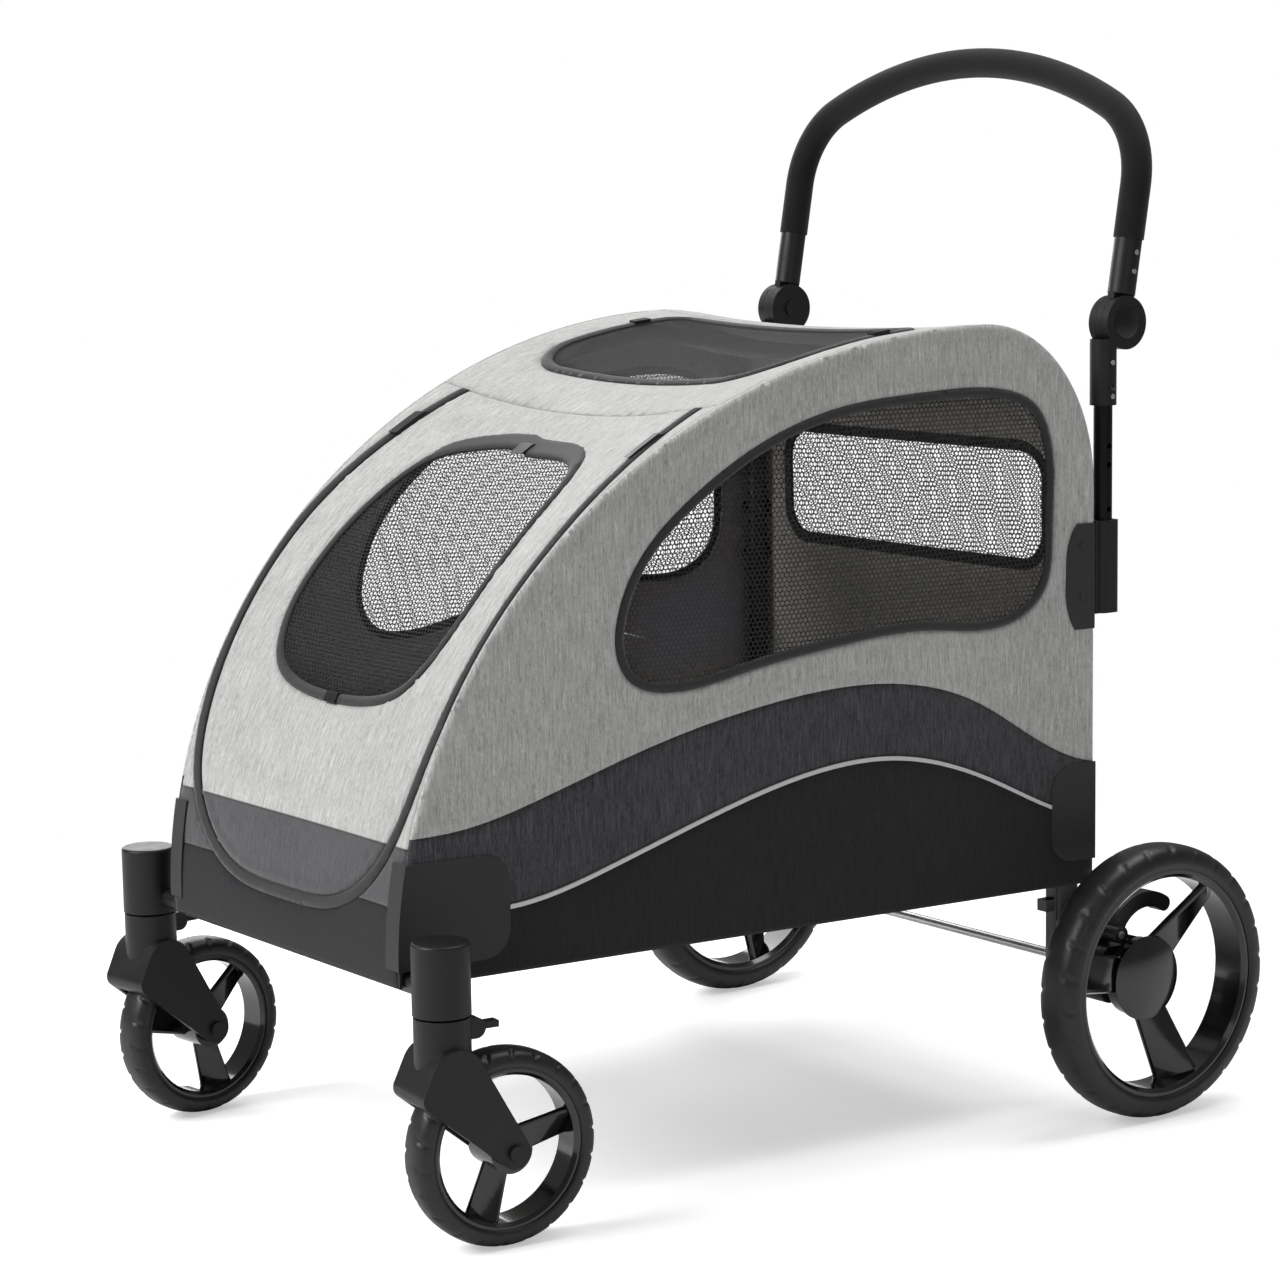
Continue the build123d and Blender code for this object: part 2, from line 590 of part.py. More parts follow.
def floor_slab(inset, y_low, y_high, z, thickness):
    front, rear = half_width(y_low, inset), half_width(y_high, inset)
    outline = Polyline((-front, y_low), (front, y_low), (rear, y_high), (-rear, y_high), close=True)
    return extrude(Plane.XY.offset(z) * make_face(outline), amount=thickness)


FLOOR_Z = RAIL_Z + TUBE_RADIUS
CUSHION_Z = FLOOR_Z + FLOOR_THICKNESS
floor_front = FRONT_FACE_Y + FLOOR_MARGIN[0]
floor_rear = REAR_FACE_Y - FLOOR_MARGIN[1]
save("floor_board", floor_slab(FLOOR_INSET, floor_front, floor_rear, FLOOR_Z, FLOOR_THICKNESS))
cushion = floor_slab(CUSHION_INSET, floor_front + 18, floor_rear - 10, CUSHION_Z, CUSHION_THICKNESS)
cushion = fillet(cushion.edges().filter_by(Axis.Z), 3 * CUSHION_EDGE)
cushion = fillet(cushion.edges().group_by(Axis.Z)[-1], CUSHION_EDGE)
save("floor_cushion", cushion)


# ================================================================ folding frame
def make_front_arch():
    """Two leaning side tubes joined by a bowed bar under the crown, hinged at the front feet."""
    count = SHEET_STATIONS - 1
    steps = [FRONT_PIVOT_ANGLE + (ARCH_TOP_ANGLE - FRONT_PIVOT_ANGLE) * i / count for i in range(count + 1)]
    side = tube(Spline(*[arch_point(angle) for angle in steps]), TUBE_DIAMETER)
    top = arch_point(ARCH_TOP_ANGLE)
    eye = rod_x(EYE_DIAMETER, -EYE_HALF, EYE_HALF, FRONT_PIVOT_Y, FRONT_PIVOT_Z)
    half = side + Pos(FRONT_PIVOT_X, 0, 0) * eye + Pos(*top) * Sphere(TUBE_RADIUS + WELD)
    middle = (0, top[1], top[2] - ARCH_BAR_SAG)
    bar = tube(ThreePointArc((-top[0], top[1], top[2]), middle, top), TUBE_DIAMETER)
    bore = rod_x(PIVOT_PIN_DIAMETER + 2 * PIN_CLEARANCE, -CUT, CUT, FRONT_PIVOT_Y, FRONT_PIVOT_Z)
    save("front_arch", half + mirrored(half) + bar - bore)


def make_rear_frame():
    """Two uprights that follow the cabin's back, joined by a bowed bar just behind the crown."""
    top_z = CROWN_Z - TOP_TUBE_INSET
    reach, rise = REAR_REACH - REAR_TUBE_INSET, top_z - REAR_SPRING_Z
    end = degrees(acos((TOP_BAR_Y - CROWN_Y) / reach))
    angles = [end * i / 5 for i in range(6)]
    curve = [(UPRIGHT_X, CROWN_Y + reach * cos(radians(a)), REAR_SPRING_Z + rise * sin(radians(a))) for a in angles]
    top = curve[-1]
    straight = Line((UPRIGHT_X, UPRIGHT_Y, REAR_PIVOT_Z), curve[0])
    bend = Spline(*curve, tangents=((0, 0, 1), (0, -1, 0)))
    upright = tube(Wire([straight, bend]), TUBE_DIAMETER)
    eye = rod_x(EYE_DIAMETER, -EYE_HALF, EYE_HALF, UPRIGHT_Y, REAR_PIVOT_Z)
    half = upright + Pos(UPRIGHT_X, 0, 0) * eye + Pos(*top) * Sphere(TUBE_RADIUS + WELD)
    bar = tube(ThreePointArc((-top[0], top[1], top[2]), (0, top[1], top[2] - TOP_BAR_SAG), top), TUBE_DIAMETER)
    bore = rod_x(PIVOT_PIN_DIAMETER + 2 * PIN_CLEARANCE, -CUT, CUT, UPRIGHT_Y, REAR_PIVOT_Z)
    frame = half + mirrored(half) + bar - bore
    save("rear_frame_tubes", frame)
    return frame


make_front_arch()
REAR_FRAME = make_rear_frame()


# ---------------------------------------------------------------- handle posts and brackets
BRACKET_WIDTH = 26.0
BRACKET_DEPTH = 27.0
FLANGE_THICKNESS = 5.0
FLANGE_GAP = 2.0  # between the bracket's flange and the rear cloth
POST_TOP_Z = KNUCKLE_Z - 29.0
POST_HOLES_Z = (613.0, 658.0, 677.0)
POST_HOLE_DIAMETER = 6.0
LEAF_LINE = [(-9, 494), (-16, 508), (-20, 548), (-15, 585), (-6, 601)]  # Y from the upright, Z


def make_brackets():
    post_front = POST_Y - BRACKET_DEPTH / 2
    body = block(
        (POST_X - BRACKET_WIDTH / 2, post_front, BRACKET_BOTTOM_Z),
        (POST_X + BRACKET_WIDTH / 2, post_front + BRACKET_DEPTH, BRACKET_TOP_Z),
    )
    body = fillet(body.edges().filter_by(Axis.Z), 8)
    flange_y = REAR_FACE_Y + FLANGE_GAP
    flange = block(
        (UPRIGHT_X - 10, flange_y, BRACKET_BOTTOM_Z),
        (POST_X + BRACKET_WIDTH / 2 - 4, flange_y + FLANGE_THICKNESS, BRACKET_TOP_Z),
    )
    bosses = [
        Pos(UPRIGHT_X, (UPRIGHT_Y + flange_y) / 2, z)
        * Rot(90, 0, 0)
        * Cylinder(BOSS_DIAMETER / 2, flange_y - UPRIGHT_Y + 1)
        for z in BRACKET_BOSS_Z
    ]
    post_length = POST_TOP_Z - BRACKET_BOTTOM_Z - 6
    post_place = Pos(POST_X, POST_Y, POST_TOP_Z - post_length / 2)
    guide = Pos(POST_X, POST_Y, (BRACKET_BOTTOM_Z + BRACKET_TOP_Z) / 2)
    guide *= Cylinder(POST_RADIUS + POST_CLEARANCE, BRACKET_TOP_Z - BRACKET_BOTTOM_Z + 2)
    bracket = body + flange + bosses - REAR_FRAME - guide
    save("handle_brackets", bracket, mirrored(bracket))

    post = post_place * (Cylinder(POST_RADIUS, post_length) - Cylinder(POST_RADIUS - TUBE_WALL, post_length))
    holes = [rod_x(POST_HOLE_DIAMETER, POST_X, POST_X + POST_DIAMETER, POST_Y, z) for z in POST_HOLES_Z]
    post = post - holes
    save("handle_posts", post, mirrored(post))

    rear_y = REAR_FACE_Y
    leaf_points = [(UPRIGHT_Y + dy, z) for dy, z in LEAF_LINE]
    with BuildLine() as line:
        edge = Spline(*[(along(y), z) for y, z in leaf_points])
        Polyline(edge @ 0, (along(rear_y), LEAF_LINE[0][1]), (along(rear_y), LEAF_LINE[-1][1]), edge @ 1)
    leaf = make_face(line.line)
    patches = []
    for side in SIDES.values():
        patch = side_solid(side, leaf, PATCH_THICKNESS, PATCH_THICKNESS + 0.3)
        reach = half_width(UPRIGHT_Y) + PATCH_THICKNESS + 1.2
        rivets = [rod_x(RIVET_DIAMETER, side * UPRIGHT_X, side * reach, UPRIGHT_Y, z) for z in BRACKET_BOSS_Z]
        patches.append(patch + rivets - REAR_FRAME)
    save("upright_patches", patches)


make_brackets()


# ================================================================ wheels
def ring(profile):
    """Solid turned about X from a profile of (x, radius) points."""
    return revolve(Plane.XZ * make_face(Polyline(*profile, close=True)), Axis.X)


def tyre(diameter, width, depth, shoulder):
    """Rubber ring about X, with rounded shoulders."""
    outer, inner = diameter / 2, diameter / 2 - depth
    body = Rot(0, 90, 0) * (Cylinder(outer, width) - Cylinder(inner, width))
    return fillet(body.edges().filter_by(GeomType.CIRCLE).sort_by(SortBy.RADIUS)[-2:], shoulder)


def rim_ring(outer, depth, width):
    """Rim band with flared edges, just inside the tyre."""
    half = width / 2
    inner = outer - depth
    flare = depth / 2
    return ring([
        (-half, outer), (half, outer), (half, inner + flare), (half - flare, inner),
        (flare - half, inner), (-half, inner + flare),
    ])


def domed_disc(x, radius, edge, height):
    """Disc about X from its flat face at x, with an upright edge and a domed outer face."""
    crown = height - edge
    ball = (radius**2 + crown**2) / (2 * crown)
    return rod_x(2 * radius, x, x + 2 * height, 0, 0) & Pos(x + height - ball, 0, 0) * Sphere(ball)


def spoke(start, end, width, end_width, thickness, twist, x_start, x_end):
    """Blade from hub to rim along +Y, turning from face-on at the hub to edge-on at the rim."""
    sections = []
    for radius, blade, turn, x in ((start, width, 0.0, x_start), (end, end_width, twist, x_end)):
        plane = Plane(origin=(x, radius, 0), x_dir=(0, 0, 1), z_dir=(0, 1, 0)).rotated((0, turn, 0))
        sections.append(plane * RectangleRounded(blade, thickness, thickness / 2.5))
    return loft(sections)


def spokes(blade, first_angle):
    return [Rot(first_angle + 360 * i / SPOKE_COUNT, 0, 0) * blade for i in range(SPOKE_COUNT)]


REAR_RIM_WIDTH = 44.0
HUB_RADIUS = 40.0
HUB_INNER_X = 317.0 - REAR_WHEEL_X  # from the wheel's middle plane
HUB_OUTER_X = 338.0 - REAR_WHEEL_X
HUB_CAP_RADIUS = 43.0
HUB_CAP_HEIGHT = 8.0
BRAKE_RING_RADIUS = 34.0
BRAKE_RING_WIDTH = 5.5
BRAKE_NOTCHES = 12
NOTCH_WIDTH = 13.5
NOTCH_DEPTH = 6.0
REAR_SPOKE_ANGLE = 48.0  # first spoke, from rearwards towards up
AXLE_BORE_RADIUS = REAR_AXLE_DIAMETER / 2 + PIN_CLEARANCE


def rear_wheel():
    """Rim, tyre and cap of the left rear wheel, about the origin."""
    rim_outer = REAR_WHEEL_DIAMETER / 2 - TYRE_DEPTH
    drum_x = HUB_INNER_X + BRAKE_RING_WIDTH
    drum = rod_x(2 * HUB_RADIUS, drum_x, HUB_OUTER_X, 0, 0)
    brake_ring = rod_x(2 * BRAKE_RING_RADIUS, HUB_INNER_X, drum_x, 0, 0)
    notch = block(
        (HUB_INNER_X - 1, -NOTCH_WIDTH / 2, BRAKE_RING_RADIUS - NOTCH_DEPTH),
        (drum_x, NOTCH_WIDTH / 2, BRAKE_RING_RADIUS + 1),
    )
    notches = [Rot(360 * i / BRAKE_NOTCHES, 0, 0) * notch for i in range(BRAKE_NOTCHES)]
    band = rim_ring(rim_outer, RIM_DEPTH, REAR_RIM_WIDTH)
    blade = spoke(HUB_RADIUS - 6, rim_outer - RIM_DEPTH / 2, 38, 46, 9, 38, (drum_x + HUB_OUTER_X) / 2, 0)
    rim = drum + (brake_ring - notches) + band + spokes(blade, REAR_SPOKE_ANGLE)
    rim = rim - rod_x(2 * AXLE_BORE_RADIUS, HUB_INNER_X - 1, HUB_OUTER_X - 2, 0, 0)
    rubber = tyre(REAR_WHEEL_DIAMETER, REAR_TYRE_WIDTH, TYRE_DEPTH, 15)
    return rim, rubber, domed_disc(HUB_OUTER_X, HUB_CAP_RADIUS, 2, HUB_CAP_HEIGHT)


def place_rear_wheels():
    rim, rubber, cap = rear_wheel()
    place = Pos(REAR_WHEEL_X, REAR_AXLE_Y, AXLE_Z)
    for name, piece in (("rear_rim", rim), ("rear_tyre", rubber), ("hub_cap", cap)):
        save(f"{name}_left", place * piece)
        save(f"{name}_right", mirrored(place * piece))


place_rear_wheels()


# ---------------------------------------------------------------- axle blocks and brakes
AXLE_BLOCK_OUTER_X = 316.0
AXLE_BLOCK_Y = (REAR_AXLE_Y - 40, REAR_AXLE_Y + 25)
AXLE_BLOCK_Z = (AXLE_Z - 26.0, AXLE_Z + 32.0)
PEDAL_X = (296.0, 314.0)
PAWL_TIP = (REAR_AXLE_Y + 3.2, AXLE_Z + 38.0)  # Y and Z of the pawl's lower end, clear of the ring
PAWL_WIDTH = 5.0
PEDAL_BOSS = 18.0
PEDAL_HEEL = (REAR_AXLE_Y - 14, BRAKE_PIVOT_Z + 6.0)
PEDAL_ARCH = (REAR_AXLE_Y + 17, BRAKE_PIVOT_Z + 29.0)
PEDAL_TIP = (REAR_AXLE_Y + 50, BRAKE_PIVOT_Z + 22.0)
PEDAL_THICKNESS = 16.0


def in_yz(x, face):
    """A sketch drawn as (Y, Z), placed at an X."""
    return Plane(origin=(x, 0, 0), x_dir=(0, 1, 0), z_dir=(1, 0, 0)) * face


def make_rear_axle_blocks():
    box = block(
        (LEG_OUTER_X, AXLE_BLOCK_Y[0], AXLE_BLOCK_Z[0]), (AXLE_BLOCK_OUTER_X, AXLE_BLOCK_Y[1], AXLE_BLOCK_Z[1])
    )
    box = fillet(box.edges().filter_by(Axis.X), 12)
    ear_radius = PEDAL_BOSS / 2
    ear = rod_x(PEDAL_BOSS, *BRAKE_EAR_X, BRAKE_PIVOT_Y, BRAKE_PIVOT_Z)
    ear += block(
        (BRAKE_EAR_X[0], BRAKE_PIVOT_Y - ear_radius, AXLE_BLOCK_Z[1] - 14),
        (BRAKE_EAR_X[1], BRAKE_PIVOT_Y + ear_radius, BRAKE_PIVOT_Z),
    )
    piece = box + ear
    piece -= rod_x(REAR_AXLE_DIAMETER, 0, CUT, REAR_AXLE_Y, AXLE_Z)
    piece -= rod_x(PIVOT_PIN_DIAMETER, 0, CUT, BRAKE_PIVOT_Y, BRAKE_PIVOT_Z)
    save("axle_blocks", piece, mirrored(piece))


def make_brake_pedals():
    arc = ThreePointArc(PEDAL_HEEL, PEDAL_ARCH, PEDAL_TIP)
    band = SlotArc(arc, PEDAL_THICKNESS)
    boss = Pos(BRAKE_PIVOT_Y, BRAKE_PIVOT_Z) * Circle(PEDAL_BOSS / 2)
    pedal = extrude(in_yz(PEDAL_X[0], band), amount=PEDAL_X[1] - PEDAL_X[0])
    pedal += extrude(in_yz(PEDAL_X[0], boss), amount=PAWL_X[1] - PEDAL_X[0])
    tip = Pos(*PAWL_TIP) * Rectangle(PAWL_WIDTH, 2)
    root = Pos(BRAKE_PIVOT_Y, BRAKE_PIVOT_Z) * Circle(PAWL_WIDTH / 2)
    pawl = make_hull(tip.edges() + root.edges())
    pedal += extrude(in_yz(PAWL_X[0], pawl), amount=PAWL_X[1] - PAWL_X[0])
    pedal -= rod_x(PIVOT_PIN_DIAMETER + 2 * PIN_CLEARANCE, 0, CUT, BRAKE_PIVOT_Y, BRAKE_PIVOT_Z)
    save("brake_pedal_left", pedal)
    save("brake_pedal_right", mirrored(pedal))


make_rear_axle_blocks()
make_brake_pedals()


# ================================================================ casters
HOUSING_DIAMETER = 53.4
HOUSING_Z = (221.0, 287.0)
STEM_RADIUS = 8.0
STEM_TOP_Z = 279.0
CROWN_DIAMETER = 52.0
FORK_CROWN_Z = (166.0, 219.0)
FORK_HALF_WIDTH = 31.0
FORK_INNER = 23.0
FORK_TIP_RADIUS = 15.0
FORK_LIP = (-24.0, 152.0, 11.0)  # Y ahead of the pivot, Z and radius of the front lip
TYRE_ROOM = 4.0
FRONT_TYRE_DEPTH = 17.0
FRONT_RIM_DEPTH = 6.5
FRONT_RIM_WIDTH = 35.0
FRONT_HUB_RADIUS = 21.0
FRONT_HUB_HALF = 22.4
FRONT_BOLT_DIAMETER = 8.0
FRONT_BOLT_HEAD = 15.0
FRONT_SPOKE_ANGLE = {"left": 12.0, "right": 45.0}
LOCK_Y = 29.0  # swivel lock's pivot behind the caster's pivot
LOCK_Z = 206.0
LOCK_DIAMETER = 19.0
LOCK_WIDTH = 12.0
LOCK_LENGTH = 25.0
CASTER_Y = BEAM_Y - CASTER_AHEAD
FRONT_AXLE_Z = FRONT_WHEEL_DIAMETER / 2


def make_housings():
    low, high = HOUSING_Z
    body = Pos(CASTER_X, CASTER_Y, (low + high) / 2) * Cylinder(HOUSING_DIAMETER / 2, high - low)
    body = fillet(body.edges().group_by(Axis.Z)[-1], 3)
    bore_top = STEM_TOP_Z + 1
    bore = Pos(CASTER_X, CASTER_Y, (low + bore_top) / 2) * Cylinder(STEM_RADIUS + PIN_CLEARANCE, bore_top - low)
    body = body - UNDERFRAME - bore
    save("caster_housings", body, mirrored(body))


def make_fork():
    """Fork about the swivel axis, trailing towards +Y, and its swivel lock lever."""
    low, high = FORK_CROWN_Z
    crown_face = Pos(0, low + 2) * Circle(CROWN_DIAMETER / 2)
    lip_y, lip_z, lip_radius = FORK_LIP
    lip = Pos(lip_y, lip_z) * Circle(lip_radius)
    tip = Pos(CASTER_TRAIL, FRONT_AXLE_Z) * Circle(FORK_TIP_RADIUS)
    side_face = make_hull(crown_face.edges() + lip.edges() + tip.edges())
    arms = extrude(in_yz(-FORK_HALF_WIDTH, side_face), amount=2 * FORK_HALF_WIDTH)
    crown = Pos(0, 0, (low + high) / 2) * Cylinder(CROWN_DIAMETER / 2, high - low)
    room = FRONT_WHEEL_DIAMETER / 2 + TYRE_ROOM
    fork = arms + crown - rod_x(2 * room, -FORK_INNER, FORK_INNER, CASTER_TRAIL, FRONT_AXLE_Z)
    fork += Pos(0, 0, (low + 20 + STEM_TOP_Z) / 2) * Cylinder(STEM_RADIUS, STEM_TOP_Z - low - 20)
    ear = rod_x(LOCK_DIAMETER, LOCK_WIDTH / 2 + 0.5, LOCK_WIDTH / 2 + 4.5, LOCK_Y, LOCK_Z)
    ear += block(
        (LOCK_WIDTH / 2 + 0.5, LOCK_Y - 12, LOCK_Z - LOCK_DIAMETER / 2),
        (LOCK_WIDTH / 2 + 4.5, LOCK_Y, LOCK_Z + LOCK_DIAMETER / 2),
    )
    fork += ear + mirrored(ear)
    slot = rod_x(LOCK_DIAMETER + 1.5, -LOCK_WIDTH / 2 - 0.5, LOCK_WIDTH / 2 + 0.5, LOCK_Y, LOCK_Z)
    fork = fork - slot
    pin = rod_x(LOCK_PIN_DIAMETER, -LOCK_WIDTH / 2 - 4.5, LOCK_WIDTH / 2 + 4.5, LOCK_Y, LOCK_Z)
    fork += pin
    fork -= rod_x(FRONT_BOLT_DIAMETER, -CUT, CUT, CASTER_TRAIL, FRONT_AXLE_Z)
    lever = rod_x(LOCK_DIAMETER, -LOCK_WIDTH / 2, LOCK_WIDTH / 2, LOCK_Y, LOCK_Z)
    lever += block((-LOCK_WIDTH / 2, LOCK_Y, LOCK_Z - 3), (LOCK_WIDTH / 2, LOCK_Y + LOCK_LENGTH, LOCK_Z + 3))
    lever -= rod_x(LOCK_PIN_DIAMETER + 2 * PIN_CLEARANCE, -CUT, CUT, LOCK_Y, LOCK_Z)
    return fork, lever


def front_wheel(angle):
    """Rim and tyre of a front wheel, about the origin."""
    rim_outer = FRONT_WHEEL_DIAMETER / 2 - FRONT_TYRE_DEPTH
    hub = rod_x(2 * FRONT_HUB_RADIUS, -FRONT_HUB_HALF, FRONT_HUB_HALF, 0, 0)
    band = rim_ring(rim_outer, FRONT_RIM_DEPTH, FRONT_RIM_WIDTH)
    blade = spoke(FRONT_HUB_RADIUS - 4, rim_outer - FRONT_RIM_DEPTH / 2, 26, 32, 7, 32, 0, 0)
    bore = rod_x(FRONT_BOLT_DIAMETER + 2 * PIN_CLEARANCE, -CUT, CUT, 0, 0)
    rim = hub + band + spokes(blade, angle) - bore
    return rim, tyre(FRONT_WHEEL_DIAMETER, FRONT_TYRE_WIDTH, FRONT_TYRE_DEPTH, 12)


def place_casters():
    fork, lever = make_fork()
    bolt = rod_x(FRONT_BOLT_DIAMETER, -FORK_HALF_WIDTH, FORK_HALF_WIDTH, CASTER_TRAIL, FRONT_AXLE_Z)
    for end in (-1, 1):
        outer = end * (FORK_HALF_WIDTH + 3.5)
        bolt += rod_x(FRONT_BOLT_HEAD, end * FORK_HALF_WIDTH, outer, CASTER_TRAIL, FRONT_AXLE_Z)
    for name, side in SIDES.items():
        place = Pos(side * CASTER_X, CASTER_Y, 0) * Rot(0, 0, -side * CASTER_REST_TURN[name])
        wheel_place = place * Pos(0, CASTER_TRAIL, FRONT_AXLE_Z)
        rim, rubber = front_wheel(FRONT_SPOKE_ANGLE[name])
        save(f"fork_{name}", place * fork)
        save(f"swivel_lock_{name}", place * lever)
        save(f"front_axle_bolt_{name}", place * bolt)
        save(f"front_rim_{name}", wheel_place * rim)
        save(f"front_tyre_{name}", wheel_place * rubber)


LOCK_PIN_DIAMETER = 6.0
make_housings()
place_casters()


# ================================================================ handle
KNUCKLE_HALF = SLEEVE_DIAMETER / 2  # half the knuckle's width, flush with the sleeve
TONGUE_HALF = 4.6  # the arm's tongue between the two cheeks of the sleeve
TONGUE_GAP = 0.4
SWING_GAP = 1.0
KNUCKLE_PIN_DIAMETER = 12.0
SOCKET_START = 28.5
SOCKET_DIAMETER = 28.0
TUBE_START = 36.0
CORNER_START = 140.0
CORNER_RADIUS = 90.0
SLEEVE_TOP_Z = 784.0
TILT_BUTTON_DIAMETER = 32.0
TILT_TRAVEL = 3.0
RECESS_DEPTH = 6.2
BUTTON_GAP = 0.3
HEIGHT_BUTTON_DIAMETER = 8.0
HEIGHT_BUTTON_Z = 737.0
HEIGHT_TRAVEL = 1.0
POCKET_DEPTH = 2.9
SCREW_DIAMETER = 5.0
SLEEVE_SCREWS_Z = (761.0, 727.0)
ARM_SCREWS = (52.0, 71.0)
HANDLE_PLACE = Pos(0, KNUCKLE_Y, KNUCKLE_Z) * Rot(-HANDLE_LEAN, 0, 0)


def knuckle_disc(diameter, x_low, x_high):
    return rod_x(diameter, x_low, x_high, KNUCKLE_Y, KNUCKLE_Z)


def make_sleeves():
    outer = POST_X + KNUCKLE_HALF
    inner = POST_X - KNUCKLE_HALF
    low, high = SLEEVE_BOTTOM_Z, SLEEVE_TOP_Z
    body = Pos(POST_X, POST_Y, (low + high) / 2) * Cylinder(SLEEVE_DIAMETER / 2, high - low)
    body += knuckle_disc(KNUCKLE_DIAMETER, inner, outer)
    slot_half = TONGUE_HALF + TONGUE_GAP
    body -= knuckle_disc(KNUCKLE_DIAMETER + 2 * SWING_GAP, POST_X - slot_half, POST_X + slot_half)
    bore_top = POST_TOP_Z + 1
    bore = Pos(POST_X, POST_Y, (low + bore_top) / 2) * Cylinder(POST_RADIUS + PIN_CLEARANCE, bore_top - low)
    recess = knuckle_disc(TILT_BUTTON_DIAMETER + 2 * BUTTON_GAP, outer - RECESS_DEPTH, outer + 1)
    pocket_radius = HEIGHT_BUTTON_DIAMETER / 2 + BUTTON_GAP
    pocket = rod_x(2 * pocket_radius, outer - POCKET_DEPTH, outer + 1, POST_Y, HEIGHT_BUTTON_Z)
    pin_bore = knuckle_disc(KNUCKLE_PIN_DIAMETER, inner - 1, outer + 1)
    sleeve = body - bore - recess - pocket - pin_bore
    sleeve = sleeve.solids().sort_by(SortBy.VOLUME)[-1]
    save("handle_sleeves", sleeve, mirrored(sleeve))

    pin = knuckle_disc(KNUCKLE_PIN_DIAMETER, inner, outer - RECESS_DEPTH)
    pin += knuckle_disc(KNUCKLE_PIN_DIAMETER + 5, inner - 2, inner)
    save("knuckle_pins", pin, mirrored(pin))

    screws = []
    for z in SLEEVE_SCREWS_Z:
        screws.append(rod_x(SCREW_DIAMETER, POST_X + 11, outer + 1.2, POST_Y, z) - sleeve)
    screws = [one.solids().sort_by(Axis.X)[-1] for one in screws]
    save("sleeve_screws", screws, [mirrored(one) for one in screws])

    face_x = outer - RECESS_DEPTH + TILT_TRAVEL + BUTTON_GAP
    button = domed_disc(face_x, TILT_BUTTON_DIAMETER / 2, 3.2, 6)
    button = Pos(0, KNUCKLE_Y, KNUCKLE_Z) * button
    save("tilt_button_left", button)
    save("tilt_button_right", mirrored(button))
    snap_x = outer - POCKET_DEPTH + HEIGHT_TRAVEL + 0.1
    snap = Pos(0, POST_Y, HEIGHT_BUTTON_Z) * domed_disc(snap_x, HEIGHT_BUTTON_DIAMETER / 2, 2, 3.6)
    save("height_button_left", snap)
    save("height_button_right", mirrored(snap))


def handle_path(start):
    """Centre line of the U-shaped handle in its own plane: straight, corner, shallow arc, corner, straight."""
    corner_x = POST_X - CORNER_RADIUS
    reach = HANDLE_REACH - CORNER_RADIUS
    rise = reach - CORNER_START
    centre = (reach + CORNER_START - corner_x**2 / rise) / 2
    turn = degrees(atan2(CORNER_START - centre, corner_x))
    middle = radians(turn / 2)
    end = radians(turn)

    def on_corner(angle):
        return corner_x + CORNER_RADIUS * cos(angle), 0, CORNER_START + CORNER_RADIUS * sin(angle)

    def other(point):
        return -point[0], point[1], point[2]

    foot, shoulder = (POST_X, 0, start), (POST_X, 0, CORNER_START)
    bend, tangent = on_corner(middle), on_corner(end)
    return Wire([
        Line(other(foot), other(shoulder)),
        ThreePointArc(other(shoulder), other(bend), other(tangent)),
        ThreePointArc(other(tangent), (0, 0, HANDLE_REACH), tangent),
        ThreePointArc(tangent, bend, shoulder),
        Line(shoulder, foot),
    ])


def make_handle():
    grip_path = handle_path(ARM_LENGTH)
    handle_tube = tube(handle_path(TUBE_START), HANDLE_TUBE_DIAMETER, HANDLE_TUBE_DIAMETER - 2 * TUBE_WALL)
    grip = tube(grip_path, GRIP_DIAMETER, HANDLE_TUBE_DIAMETER)
    save("handle_tube", HANDLE_PLACE * handle_tube)
    save("foam_grip", HANDLE_PLACE * grip)

    tongue = rod_x(KNUCKLE_DIAMETER, POST_X - TONGUE_HALF, POST_X + TONGUE_HALF, 0, 0)
    neck = SOCKET_DIAMETER / 2
    tongue += block((POST_X - TONGUE_HALF, -neck, 0), (POST_X + TONGUE_HALF, neck, SOCKET_START + 1))
    length = ARM_LENGTH - SOCKET_START
    socket = Pos(POST_X, 0, SOCKET_START + length / 2) * Cylinder(SOCKET_DIAMETER / 2, length)
    depth = ARM_LENGTH - TUBE_START
    seat = Pos(POST_X, 0, TUBE_START + depth / 2) * Cylinder(HANDLE_TUBE_DIAMETER / 2, depth)
    pin_bore = rod_x(KNUCKLE_PIN_DIAMETER + 2 * PIN_CLEARANCE, 0, CUT, 0, 0)
    arm = tongue + socket - seat - pin_bore
    placed = HANDLE_PLACE * arm
    save("handle_arms", placed, mirrored(placed))
    heads = []
    for s in ARM_SCREWS:
        heads.append((rod_x(SCREW_DIAMETER, POST_X + 12, POST_X + SOCKET_DIAMETER / 2 + 1.2, 0, s) - arm).solids()[-1])
    heads = [HANDLE_PLACE * one for one in heads]
    save("arm_screws", heads, [mirrored(one) for one in heads])


make_sleeves()
make_handle()
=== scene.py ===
import json
import math

import bmesh
import bpy
import numpy as np
from mathutils import Matrix, Vector, noise
from mathutils.geometry import delaunay_2d_cdt


